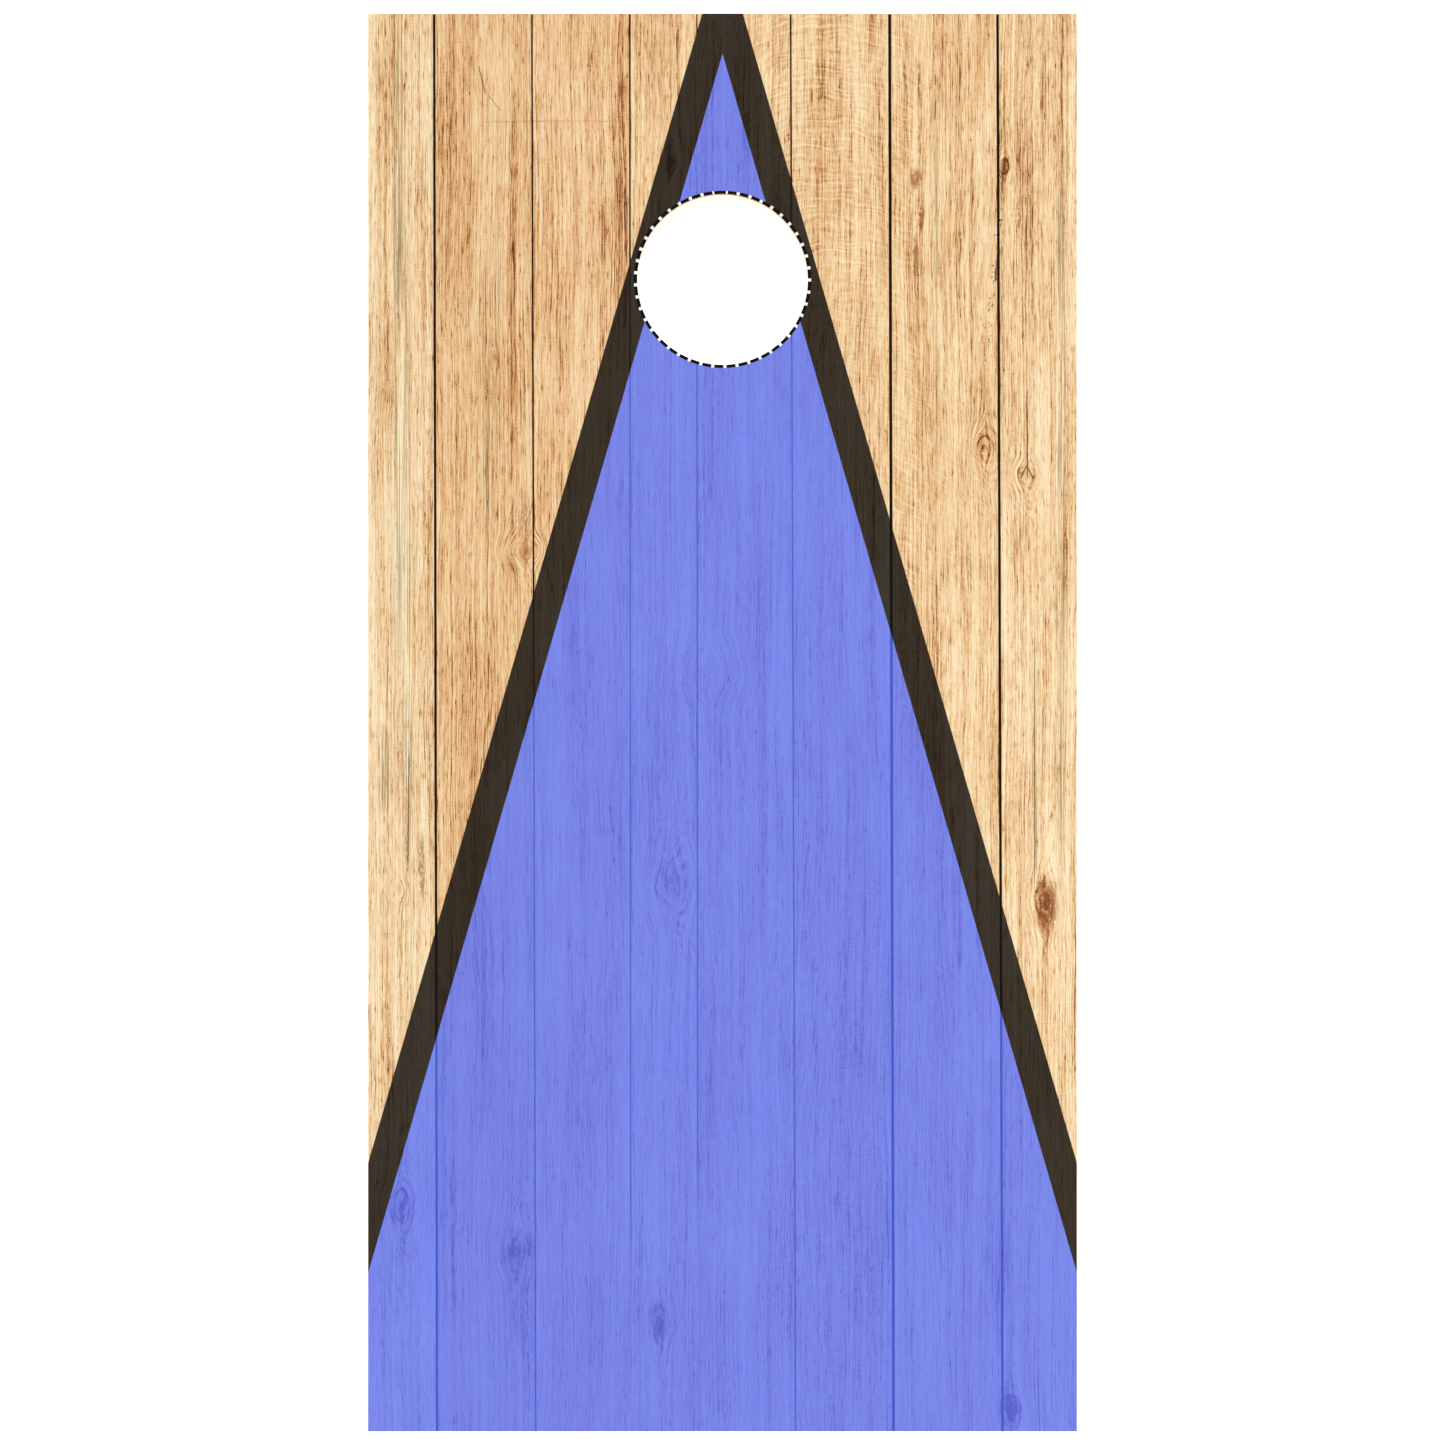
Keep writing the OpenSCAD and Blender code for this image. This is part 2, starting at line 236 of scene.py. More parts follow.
class Web:
    """Makes shader nodes in a tree and returns their outputs as fields."""

    def __init__(self, tree):
        self.tree = tree

    def node(self, kind, inputs, out=0, **settings):
        """Adds a node, gives its inputs fields or plain values, and returns one output."""
        node = self.tree.nodes.new(kind)
        for key, value in settings.items():
            setattr(node, key, value)
        for socket, value in inputs.items():
            if isinstance(value, Field):
                self.tree.links.new(value.socket, node.inputs[socket])
            else:
                node.inputs[socket].default_value = value
        return Field(self, node.outputs[out]) if node.outputs else None

    def math(self, operation, *values, clamp=False):
        inputs = dict(enumerate(values))
        return self.node("ShaderNodeMath", inputs, operation=operation, use_clamp=clamp)

    def smooth(self, x, low, high, top=1.0):
        """Rises smoothly from 0 where x is low to top where x is high."""
        inputs = {0: x, 1: low, 2: high, 3: 0.0, 4: top}
        return self.node("ShaderNodeMapRange", inputs, interpolation_type="SMOOTHSTEP",
                         clamp=False)

    def lerp(self, x, low, high, bottom=0.0, top=1.0):
        """Rises in a straight line from bottom where x is low to top where x is high."""
        return self.node("ShaderNodeMapRange", {0: x, 1: low, 2: high, 3: bottom, 4: top})

    def larger(self, a, b):
        return self.math("MAXIMUM", a, b)

    def sine(self, turns):
        return self.math("SINE", turns * (2 * math.pi))

    def vector(self, x, y, z):
        return self.node("ShaderNodeCombineXYZ", {0: x, 1: y, 2: z})

    def noise(self, x, y, z=0.0, scale=1.0, detail=2.0, roughness=0.5):
        """Cloudy noise about 0, mostly between -0.5 and 0.5."""
        inputs = {"Vector": self.vector(x, y, z), "Scale": scale, "Detail": detail,
                  "Roughness": roughness}
        return self.node("ShaderNodeTexNoise", inputs) - 0.5

    def cells(self, x, y, z):
        """Distance to the nearest of the points that are scattered one to each unit cube."""
        inputs = {"Vector": self.vector(x, y, z), "Scale": 1.0}
        return self.node("ShaderNodeTexVoronoi", inputs)

    def mix(self, share, a, b, mode="MIX"):
        return self.node("ShaderNodeMix", {0: share, 6: a, 7: b}, out=2, data_type="RGBA",
                         blend_type=mode)

    def ramp(self, x, stops, interpolation="LINEAR"):
        """Colours along x, from stops of (place, red, green, blue)."""
        colour = self.node("ShaderNodeValToRGB", {0: x})
        ramp = colour.socket.node.color_ramp
        ramp.interpolation = interpolation
        while len(ramp.elements) < len(stops):
            ramp.elements.new(0.5)
        for element, (place, *screen) in zip(ramp.elements, stops):
            element.position = place
            element.color = rgb(*screen)
        return colour

    def place(self):
        """Where the surface point is on the flat board, in millimetres: x, y and z."""
        point = self.node("ShaderNodeTexCoord", {}, out="Object")
        tipped = {"Vector": point, "Location": DECK.translation, "Rotation": (TILT, 0, 0),
                  "Scale": (MM, MM, MM)}
        flat = self.node("ShaderNodeMapping", tipped, vector_type="TEXTURE")
        axes = self.node("ShaderNodeSeparateXYZ", {0: flat}).socket.node
        return [Field(self, socket) for socket in axes.outputs]

    def facing(self, axis):
        """How squarely the surface faces along an axis, from 0 to 1."""
        normal = self.node("ShaderNodeTexCoord", {}, out="Normal")
        return abs(self.node("ShaderNodeVectorMath", {0: normal, 1: tuple(axis)}, out="Value",
                             operation="DOT_PRODUCT"))


def rgb(red, green, blue):
    """A colour as a screen shows it, from 0 to 255 in each channel."""
    return (red / 255, green / 255, blue / 255, 1)


def new_material(name):
    material = bpy.data.materials.new(name)
    material.use_nodes = True
    material.node_tree.nodes.clear()
    return material, Web(material.node_tree)


def finish_material(web, screen_colour, roughness, height, strength, distance, **shader):
    """Ends a material: the screen colour made linear, and a bump from height, which is a field."""
    base = web.node("ShaderNodeGamma", {0: screen_colour, 1: SCREEN_GAMMA})
    bump = web.node("ShaderNodeBump", {"Height": height, "Strength": strength,
                                       "Distance": distance})
    inputs = {"Base Color": base, "Roughness": roughness, "Normal": bump}
    for key, value in shader.items():
        inputs[key.replace("_", " ")] = value
    surface = web.node("ShaderNodeBsdfPrincipled", inputs)
    web.node("ShaderNodeOutputMaterial", {"Surface": surface})


# ---------------------------------------------------------------- the face planks' grain
# Tone of each plank: its usual colour is multiplied by this
PLANK_TINT = [
    (251, 253, 255), (243, 233, 222), (248, 240, 234), (250, 246, 242),
    (250, 246, 242), (251, 248, 244), (251, 248, 243), (255, 255, 255),
]
# Painted shade in each seam, where the gap between planks is dark: its strength, its half width, and
# the distances from the front edge between which it shows
SEAM_SHADE = [
    (1.0, 0.95, None), (0.85, 0.6, None), (0.75, 0.65, (150, 2000)), (0.75, 0.65, (210, 1080)),
    (0.75, 0.65, None), (1.0, 1.2, None), (1.0, 1.05, None),
]
# Streaks along the grain: x, distance from the rear edge of both ends, half width, strength
BROWN_STREAKS = [
    (-180, 20, 560, 3.2, 0.17), (-177, 30, 400, 8, 0.1), (-233, -50, 1300, 1.1, 0.19),
    (-229, 40, 700, 0.8, 0.17), (-87, -50, 300, 3, 0.19), (85.5, -50, 90, 2.6, 0.25),
    (127.5, -50, 45, 3.5, 0.26), (168, 36, 84, 2.4, 0.2), (171, 84, 155, 1.6, 0.14),
    (265, 150, 232, 1, 0.21), (-293, 35, 80, 6, 0.19), (77.5, 40, 105, 1.2, 0.28),
    (103, 40, 105, 1.4, 0.25), (254, 88, 150, 1.6, 0.25), (262, 320, 402, 1, 0.22),
    (-26, 540, 610, 2, 0.12), (-53, 1080, 1219, 2.6, 0.22), (-176, 1040, 1150, 2, 0.25),
    (277, 775, 820, 3, 0.19), (-44, 765, 900, 3, 0.11), (-39, 920, 1110, 3.5, 0.2),
    (79, 850, 990, 3, 0.18), (-62, 200, 1219, 1.6, 0.07), (205, 60, 520, 2.5, 0.09),
    (240, 500, 900, 4, 0.09), (-258, 300, 1219, 3, 0.07), (-140, 0, 500, 4, 0.07),
    (-104, 20, 420, 2.5, 0.09),
]
GREY_STREAKS = [
    (-278, -50, 600, 5, 0.3), (-270, 200, 900, 3, 0.22), (-290, 610, 690, 4, 0.35),
    (-203, 190, 470, 3, 0.34), (-193, 60, 420, 2.2, 0.25), (184, 0, 420, 1.6, 0.2),
    (291, 60, 800, 4, 0.25), (268.5, 530, 780, 1.4, 0.5), (-208, 600, 900, 4, 0.16),
]
# Fine black cracks: x at the rear end, x at the front end, distance from the rear edge of both
# ends, half width
CRACKS = [
    (-210, -203.5, 44, 70, 0.3), (-201.5, -190.5, 70, 84, 0.15), (261.5, 262.5, 320, 402, 0.35),
    (237.5, 234.5, 196, 232, 0.8), (183, 183, 52, 62, 0.3), (183, 183, 74, 92, 0.3),
    (262, 256, 388, 400, 0.6), (262, 268, 390, 401, 0.5), (241, 240.5, 134, 156, 0.9),
    (-269.5, -270.5, 632, 735, 0.45), (248, 247, 1188, 1212, 1), (242, 242, 126, 136, 1.2),
]
# Resin and other stains: x, distance from the rear edge, half width, half length, strength
STAINS = [
    (169.5, 60, 1.8, 22, 0.8), (170, 112, 1.1, 26, 0.55), (166, 142, 6.5, 11, 0.7),
    (171, 176, 3, 14, 0.9), (166, 212, 2.4, 26, 0.75), (255, 172, 2, 16, 0.7),
    (205, 190, 1.6, 9, 0.6), (229, 115, 1.3, 8, 0.5), (-276, 640, 2, 26, 0.35),
    (-258, 735, 3, 36, 0.6), (279, 768, 12, 30, 0.75), (283, 690, 2.5, 6, 0.6),
    (-170, 440, 7, 40, 0.4), (268, 655, 1.3, 60, 0.4), (201, 470, 1.6, 36, 0.4),
    (-47, 120, 3, 14, 0.6), (-57, 1120, 6, 18, 0.6),
]
# Where the curly figure shows: left, right and both distances from the rear edge, softness of
# the edge, strength
CURLY_PATCHES = [
    (143, 168, -20, 620, 8, 0.06), (-300, -262, 190, 460, 12, 0.13),
    (150, 230, 300, 900, 30, 0.05), (10, 200, 700, 1200, 60, 0.05),
]
CURL_PITCH = 7.4
RING_PITCH = 3.3


def box_window(web, x, y, left, right, front, rear, soft):
    """1 inside a box of the board and 0 outside it, with a soft edge."""
    half_w, half_l = (right - left) / 2, (rear - front) / 2
    across = web.smooth(abs(x - (left + right) / 2), half_w + soft, half_w - soft)
    along = web.smooth(abs(y - (front + rear) / 2), half_l + soft, half_l - soft)
    return across * along


def spot(x, back, middle_x, middle_back, half_w, half_l):
    """How far across a spot a point is, and its squared distance, in the spot's half sizes."""
    across = (x - middle_x) / half_w
    along = (back - middle_back) / half_l
    return across, across * across + along * along


def plank_and_seam_shade(web, x, y):
    """Which plank a point is on, from 0, and how dark the painted shade in the seam is there."""
    plank = 0.0
    seam_shade = 0.0
    for left, lean, (strength, width, shown) in zip(SEAM_X, SEAM_LEAN, SEAM_SHADE):
        line = web.math("MULTIPLY_ADD", y, -lean / BOARD_L, left + lean)
        plank = web.math("GREATER_THAN", x, line) + plank
        near = web.smooth(abs(x - line), width + 0.25, width - 0.35, strength)
        if shown:
            near = near * web.smooth(y, shown[0] - 60, shown[0] + 60)
            near = near * web.smooth(y, shown[1] + 60, shown[1] - 60)
        seam_shade = web.larger(near, seam_shade)
    return plank, seam_shade


def knot_fields(web, x, back, wobble):
    """x with the grain bent round the knots, and the knots' hearts, rims and stains."""
    grain_x = x
    heart = rim = stain = 0.0
    for *place, dark, ring in KNOTS:
        across, square = spot(x, back, *place)
        reach = web.math("SQRT", square) + wobble
        grain_x = grain_x - across * web.smooth(reach, 3.4, 0.6, 0.8 * place[2])
        heart = web.larger(web.smooth(reach, 1.0, 0.35, dark), heart)
        rim = web.larger(web.smooth(abs(reach - 1.15), 0.45, 0.05, ring), rim)
        if dark > 0.5:
            stain = web.larger(web.smooth(reach, 2.6, 0.6, dark * 0.5), stain)
    return grain_x, heart, rim, stain


def curly_figure(web, x, y, back, ripple):
    """Light and dark bars across the grain, and how strongly the figure shows."""
    bow = (x - 90) * (x - 90) * 0.004
    curl = 0.0
    for pitch, light, seed in ((CURL_PITCH, 1.1, 61.0), (CURL_PITCH * 0.54, 0.9, 67.0)):
        crest = web.sine((y + bow + ripple * 22) / pitch)
        crest = web.smooth(crest, 0.2, -0.7, 0.5) - web.smooth(crest, 0.5, 1.0, light)
        patch = web.noise(x / 14, y / 11, seed, detail=1.0)
        curl = crest * web.smooth(patch, -0.12, 0.16) + curl
    figure = box_window(web, x, back, 25, 140, -20, 470, 35) * web.smooth(back, 480, 120, 0.13)
    for *box, strength in CURLY_PATCHES:
        figure = figure + box_window(web, x, back, *box) * strength
    return curl, figure


def streaks(web, x, back, table, spread):
    """The sum of a table's streaks, each soft at its sides and its ends."""
    total = 0.0
    for place, start, end, width, strength in table:
        line = web.smooth(abs(x - place), width * spread, width * 0.2, strength)
        half = (end - start) / 2
        total = line * web.smooth(abs(back - (start + end) / 2), half, half * 0.6) + total
    return total


def crack_lines(web, x, y, back):
    crack = 0.0
    jag = x + web.noise(x / 5, y / 4, 3.0) * 1.6
    for rear_x, front_x, start, end, width in CRACKS:
        slope = (front_x - rear_x) / (end - start)
        line_x = web.math("MULTIPLY_ADD", back, slope, rear_x - slope * start)
        line = web.smooth(abs(jag - line_x), width + 0.5, width * 0.3)
        half = (end - start) / 2
        near = line * web.smooth(abs(back - (start + end) / 2), half, half * 0.8)
        crack = web.larger(near, crack)
    return crack


def resin_stains(web, x, y, back, fine):
    """Stains that fray along the grain."""
    frayed = web.noise(x / 2.2, y / 5.5, 33.0, detail=3.0, roughness=0.65)
    resin = 0.0
    for *place, strength in STAINS:
        square = spot(x + frayed * 7.0, back, *place)[1]
        resin = web.larger(web.smooth(square, 1.0, 0.1, strength), resin)
    return resin * web.smooth(frayed + fine * 0.5, -0.2, 0.06)


def face_grain():
    """The planks' face as a node group: its screen colour and its relief from 0 to 1. The planks
    and the films that let them show through share it."""
    group = bpy.data.node_groups.new("face_grain", "ShaderNodeTree")
    group.interface.new_socket("Colour", in_out="OUTPUT", socket_type="NodeSocketColor")
    group.interface.new_socket("Relief", in_out="OUTPUT", socket_type="NodeSocketFloat")
    web = Web(group)
    x, y, _ = web.place()
    back = BOARD_L - y  # distance from the rear edge
    # The seams between planks get painted shade, darkened where their gaps are dark
    plank, seam_shade = plank_and_seam_shade(web, x, y)
    wobble = web.noise(x / 14, y / 14, plank * 3.7)
    grain_x, heart, rim, stain = knot_fields(web, x, back, wobble)
    sway = web.noise(plank * 9.1, y / 170, x / 260, detail=1.0)
    wander = web.noise(x / 7, y / 26, plank * 1.9 + 70)
    grain_x = grain_x + sway * 7.0 + wander * 1.8

    def fibres(width, length, seed, detail=2.0, roughness=0.5):
        return web.noise(grain_x / width, y / length, plank * 5.3 + seed, detail=detail,
                         roughness=roughness)

    tone = fibres(26, 420, 1.7)
    bands = fibres(9.0, 240, 4.1, 2.0, 0.6)
    strands = fibres(3.0, 70, 8.3, 2.0, 0.6)
    fine = fibres(0.95, 16, 12.9, 1.0)
    threads = fibres(0.95, 300, 25.4, 1.0)
    pore = web.smooth(fibres(0.9, 9, 17.2, 1.0), 0.1, 0.24, 0.4)
    rays = web.noise(grain_x / 3.0, y / 1.6, plank * 6.1, detail=3.0, roughness=0.75)
    blotch = web.noise(x / 60, y / 120, plank * 2.9 + 30, detail=3.0, roughness=0.6)

    # Growth rings, which swell round the knots
    swell = 0.0
    for *place, rings_out in SWELLS:
        square = spot(x, back, *place)[1]
        swell = web.math("EXPONENT", square * -1.0) * rings_out + swell
    wave = web.sine(grain_x / RING_PITCH + swell + tone * 7.0 + bands * 1.5)
    ring_depth = web.smooth(fibres(5.0, 130, 21.0), -0.2, 0.25) + swell * 0.06
    rings = web.smooth(wave, 0.1, 1.0) * ring_depth

    # The fibres show less where the wood is curly
    ripple = web.noise(x / 40, y / 28, plank)
    curl, figure = curly_figure(web, x, y, back, ripple)
    shade = tone * 0.66 + bands * 0.85 + strands * 0.5 + fine * 1.1 + rings * 0.28
    shade = (shade + threads * 1.2 + rays * 0.5 + pore) * web.lerp(figure, 0.0, 0.13, 1.0, 0.85)
    shade = shade + blotch * 0.6 + 0.29 + curl * figure * 1.3
    chatter = web.sine((y + ripple * 30 + strands * 3.0) / RING_PITCH)
    chatter = chatter * web.smooth(strands + bands, -0.1, 0.35)
    shade = shade + chatter * (box_window(web, x, back, -10, 150, 420, 1300, 40) * 0.1 + 0.02)

    # Streaks, which wander a little and fray at their ends
    drift = web.noise(y / 60, plank * 4.4 + 50) * 4.0
    fray = web.lerp(fine + strands, -0.3, 0.3, 0.55, 1.3)
    shade = shade + streaks(web, x + drift, back, BROWN_STREAKS, 1.5) * fray
    hairs = web.noise(x / 0.95, y / 160, 77.0, detail=1.0)
    grey = streaks(web, x + drift, back, GREY_STREAKS, 1.6) * web.smooth(hairs, -0.02, 0.14, 2.6)

    # A leaning row of black specks, and red-brown flecks
    row_x = x + back * 0.1
    specks = web.smooth(web.noise(row_x / 1.7, y / 3.2, 52.0, detail=0.0), 0.17, 0.22, 0.9)
    specks = specks * box_window(web, row_x, back, 253, 258.5, 165, 300, 2)
    fleck = web.smooth(web.cells(x / 9, y / 26, 2.0), 0.11, 0.05)
    fleck = fleck * web.smooth(blotch + tone, 0.12, 0.3)

    burr = web.noise(x / 1.5, y / 2.6, 40.0, detail=3.0, roughness=0.7)
    heart = heart * web.lerp(burr, -0.22, 0.2, 0.25, 1.25)
    shade = shade + heart * 0.62 + rim * 0.5 * (1.0 + burr * 2.0) + stain * (burr * 2.0 + 0.35)
    colour = web.ramp(shade, [
        (0.0, 255, 234, 194), (0.3, 243, 208, 161), (0.5, 230, 187, 137),
        (0.72, 200, 149, 98), (0.9, 157, 103, 62), (1.0, 112, 66, 43),
    ])
    tints = [(i / PLANKS, *tint) for i, tint in enumerate(PLANK_TINT)]
    tint = web.ramp((plank + 0.5) / PLANKS, tints, "CONSTANT")
    colour = web.mix(1.0, colour, tint, "MULTIPLY")

    # A line pressed across plank 2, then every mark in turn: its share and its colour. The last is
    # painted shade in the seams between planks.
    imprint = web.smooth(abs(back + drift * 0.3 - 92.8), 1.3, 0.1)
    imprint = imprint * web.smooth(abs(x + 149), 60, 50, 0.3) * web.smooth(blotch, -0.25, 0.1)
    for share, mark in (
            (web.math("MULTIPLY", grey, 1.0, clamp=True), rgb(136, 122, 88)),
            (fleck * 0.55, rgb(140, 74, 48)),
            (web.smooth(heart, 0.3, 0.85, 0.75), rgb(74, 50, 44)),
            (imprint, rgb(138, 96, 66)),
            (resin_stains(web, x, y, back, fine), rgb(150, 92, 54)),
            (crack_lines(web, x, y, back) * 0.7, rgb(88, 54, 36)),
            (specks, rgb(52, 34, 26)),
            (seam_shade, rgb(30, 20, 14))):
        colour = web.mix(share, colour, mark)

    relief = 0.6 - (strands + fine) * 0.5 - pore - heart * 0.4 - seam_shade * 0.6 + curl * figure
    web.node("NodeGroupOutput", {"Colour": colour, "Relief": relief})
    return group


def use_grain(web, group):
    """The face grain's colour and relief."""
    node = web.node("ShaderNodeGroup", {}, node_tree=group).socket.node
    return [Field(web, socket) for socket in node.outputs]


def film_material(name, grain, film, clarity, roughness):
    """A printed film over the planks: film's colour, with clarity as the share of wood that
    shows through it."""
    material, web = new_material(name)
    wood, relief = use_grain(web, grain)
    x, y, z = web.place()
    mottle = web.noise(x / 90, y / 120, 5.0, detail=3.0)
    print_colour = web.mix(web.lerp(mottle, -0.3, 0.3, 0.0, 0.03), film, rgb(255, 255, 255))
    colour = web.mix(clarity, print_colour, wood)
    orange_peel = web.noise(x, y, z, scale=0.8)
    scuff = web.smooth(web.noise(x / 30, y / 45, 9.0, detail=4.0), 0.0, 0.5)
    gloss = web.lerp(scuff + orange_peel * 0.3, 0.0, 1.0, roughness, roughness + 0.06)
    height = relief * 0.7 + orange_peel * 0.25
    finish_material(web, colour, gloss, height, 0.22, 0.00025, Specular_IOR_Level=0.22)
    return material


def vinyl_material(name, pale, dark, roughness):
    """The ring's white or black vinyl, a little soiled."""
    material, web = new_material(name)
    x, y, z = web.place()
    soil = web.smooth(web.noise(x / 6, y / 6, z, detail=4.0), -0.1, 0.35)
    peel = web.noise(x, y, z, scale=1.1)
    colour = web.mix(soil, pale, dark)
    gloss = web.lerp(peel, -0.3, 0.3, roughness, roughness + 0.12)
    finish_material(web, colour, gloss, peel, 0.15, 0.0002, Specular_IOR_Level=0.2)
    return material


def face_material(grain):
    material, web = new_material("face_wood")
    colour, relief = use_grain(web, grain)
    rough = web.lerp(relief, 0.2, 0.9, 0.72, 0.5)
    finish_material(web, colour, rough, relief, 0.5, 0.0005, Specular_IOR_Level=0.16)
    return material


def plywood_material():
    """Birch plywood: rotary-cut veneers, whose edges alternate between long grain and end grain."""
    material, web = new_material("core_plywood")
    x, y, z = web.place()
    ply = (z - CORE_Z) / (CORE_T / PLIES)
    layer = web.math("FLOOR", ply)
    crosswise = web.math("MODULO", layer, 2.0)
    line = web.smooth(abs(web.math("FRACT", ply) - 0.5), 0.42, 0.5)
    swirl = web.noise(x / 60, y / 240, layer)
    contour = web.sine(x / 24 + swirl * 7.0)
    fibre = web.noise(x / 1.4, y / 40, layer * 3.1, detail=3.0, roughness=0.6)
    shade = web.smooth(contour, -1.0, 1.0, 0.25) + fibre * 0.5 + 0.25
    face = web.ramp(shade, [
        (0.0, 240, 219, 183), (0.45, 226, 198, 156), (1.0, 184, 143, 98),
    ])
    end = web.noise(x / 1.1, y / 1.1, z / 0.8, detail=3.0)
    edge = web.ramp(crosswise * 0.34 + end * 0.7 + 0.25, [
        (0.0, 232, 207, 166), (0.5, 205, 170, 122), (1.0, 142, 103, 66),
    ])
    edge = web.mix(line * 0.65, edge, rgb(92, 60, 38))
    flat = web.smooth(web.facing(deck_normal), 0.7, 0.95)
    colour = web.mix(flat, edge, face)
    # Painted shade: the top face, seen only down the gaps between planks, is made near-black so the
    # gaps read dark
    gap_shade = web.smooth(z, FACE_Z - 0.25, FACE_Z - 0.05)
    colour = web.mix(gap_shade * 0.94, colour, rgb(28, 19, 13))
    height = fibre * 0.6 - line * 0.5
    finish_material(web, colour, web.lerp(fibre, -0.3, 0.3, 0.55, 0.75), height, 0.45, 0.0005,
                    Specular_IOR_Level=0.2)
    return material


def lumber_material(name, along, seed):
    """Planed construction pine whose grain runs along one axis of the board, with end grain where
    it is sawn across."""
    material, web = new_material(name)
    axes = dict(zip("xyz", web.place()))
    length = axes.pop(along)
    side, depth = axes.values()
    warp = web.noise(side / 55, length / 380, depth / 55 + seed)
    pith_side = side + warp * 16 - 34.0 - seed * 5.0
    pith_depth = depth - 130.0 + warp * 9
    ring = web.math("SQRT", pith_side * pith_side + pith_depth * pith_depth) / 4.2
    ring = ring + web.noise(length / 160, ring / 5, seed) * 0.7
    late = web.smooth(web.math("FRACT", ring), 0.35, 0.95)
    fibre = web.noise(side / 1.0, length / 46, depth / 1.0 + seed, detail=3.0)
    streak = web.noise(side / 9, length / 340, depth / 9 + seed * 2, detail=3.0)

    # Knots, one or two to each half metre
    knot = web.cells(side / 95, length / 260, depth / 95 + seed)
    knot = knot + web.noise(side / 8, length / 8, depth / 8) * 0.04
    core = web.smooth(knot, 0.10, 0.06)
    collar = web.smooth(abs(knot - 0.11), 0.03, 0.0)
    shade = late * 0.34 + fibre * 0.45 + streak * 0.5 + 0.28 + core * 0.5 + collar * 0.3
    colour = web.ramp(shade, [
        (0.0, 247, 224, 184), (0.35, 236, 204, 156), (0.6, 219, 174, 119),
        (0.85, 176, 118, 68), (1.0, 112, 68, 40),
    ])
    local_axis = {"x": Vector((1, 0, 0)), "y": deck_up, "z": deck_normal}[along]
    sawn = web.smooth(web.facing(local_axis), 0.75, 0.95)
    vessel = web.noise(side / 0.7, depth / 0.7, seed, detail=3.0, roughness=0.7)
    saw = web.math("SINE", (side * 0.35 + depth + vessel * 2.0) * 2.2)
    end = web.ramp(late * 0.42 + vessel * 0.6 + saw * 0.03 + 0.42, [
        (0.0, 228, 192, 142), (0.5, 203, 157, 103), (1.0, 142, 92, 54),
    ])
    colour = web.mix(sawn, colour, end)
    grime = web.smooth(web.noise(side / 60, length / 90, depth / 60, detail=3.0), 0.1, 0.4)
    colour = web.mix(grime * 0.16, colour, rgb(120, 100, 78))
    height = (1.0 - late) * 0.35 + fibre * 0.5 + sawn * (vessel + saw * 0.15) - collar * 0.2
    rough = web.lerp(fibre + late * 0.4, -0.3, 0.6, 0.5, 0.72)
    finish_material(web, colour, rough, height, 0.5, 0.0005, Specular_IOR_Level=0.25)
    return material


def metal_material(name, pale, dark, roughness, spangle):
    """Plated steel: blotchy plating, fine scratches and duller patches."""
    material, web = new_material(name)
    x, y, z = web.place()
    cloud = web.noise(x / spangle, y / spangle, z / spangle, detail=4.0, roughness=0.6)
    grit = web.noise(x, y, z, scale=2.4, detail=3.0)
    scratch = web.noise(x * 3, y * 0.4, z * 3)
    colour = web.mix(web.smooth(cloud + grit * 0.4, -0.25, 0.3), pale, dark)
    rough = web.lerp(cloud + scratch * 0.6, -0.35, 0.35, roughness - 0.08, roughness + 0.14)
    height = grit * 0.6 + scratch * 0.4
    finish_material(web, colour, rough, height, 0.25, 0.0001, Metallic=1.0)
    return material


grain = face_grain()
MATERIALS = {
    "face_wood": face_material(grain),
    "blue_vinyl": film_material("blue_vinyl", grain, rgb(78, 106, 251), 0.24, 0.44),
    "smoke_vinyl": film_material("smoke_vinyl", grain, rgb(0, 0, 0), 0.225, 0.46),
    "white_vinyl": vinyl_material("white_vinyl", rgb(255, 255, 255), rgb(244, 243, 240), 0.4),
    "black_vinyl": vinyl_material("black_vinyl", rgb(6, 6, 6), rgb(20, 19, 18), 0.4),
    "core_plywood": plywood_material(),
    "pine_x": lumber_material("pine_x", "x", 1.3),
    "pine_y": lumber_material("pine_y", "y", 4.6),
    "pine_z": lumber_material("pine_z", "z", 8.2),
    "zinc_steel": metal_material("zinc_steel", rgb(206, 208, 212), rgb(158, 161, 168), 0.34, 5.0),
    "screw_steel": metal_material("screw_steel", rgb(214, 184, 118), rgb(164, 128, 66), 0.36, 3.0),
}


# ---------------------------------------------------------------- mesh tools
def loft(rings, target=None, looped=False):
    """Skins a row of rings, which all have the same number of points, and caps its ends unless
    the row is a loop."""
    bm = target or bmesh.new()
    rows = [[bm.verts.new(point) for point in ring] for ring in rings]
    count = len(rings[0])
    pairs = list(zip(rows, rows[1:]))
    if looped:
        pairs.append((rows[-1], rows[0]))
    for near, far in pairs:
        for i in range(count):
            j = (i + 1) % count
            bm.faces.new((near[i], near[j], far[j], far[i]))
    if not looped:
        bm.faces.new(list(reversed(rows[0])))
        bm.faces.new(rows[-1])
    return bm


def round_ring(radius, height, count=48):
    angles = [2 * math.pi * k / count for k in range(count)]
    return [(radius * math.cos(a), radius * math.sin(a), height) for a in angles]


def round_rings(profile, count=48):
    return [round_ring(radius, height, count) for radius, height in profile]


def lathe(profile, count=48):
    """Turns a profile of (radius, height) about z, closed at both ends."""
    return loft(round_rings(profile, count))


def moved(bm, matrix):
    """Moves a mesh, and returns it."""
    bmesh.ops.transform(bm, matrix=matrix, verts=bm.verts)
    return bm


def scaled(bm, factor):
    """Scales a mesh, and returns it."""
    bmesh.ops.scale(bm, vec=(factor, factor, factor), verts=bm.verts)
    return bm


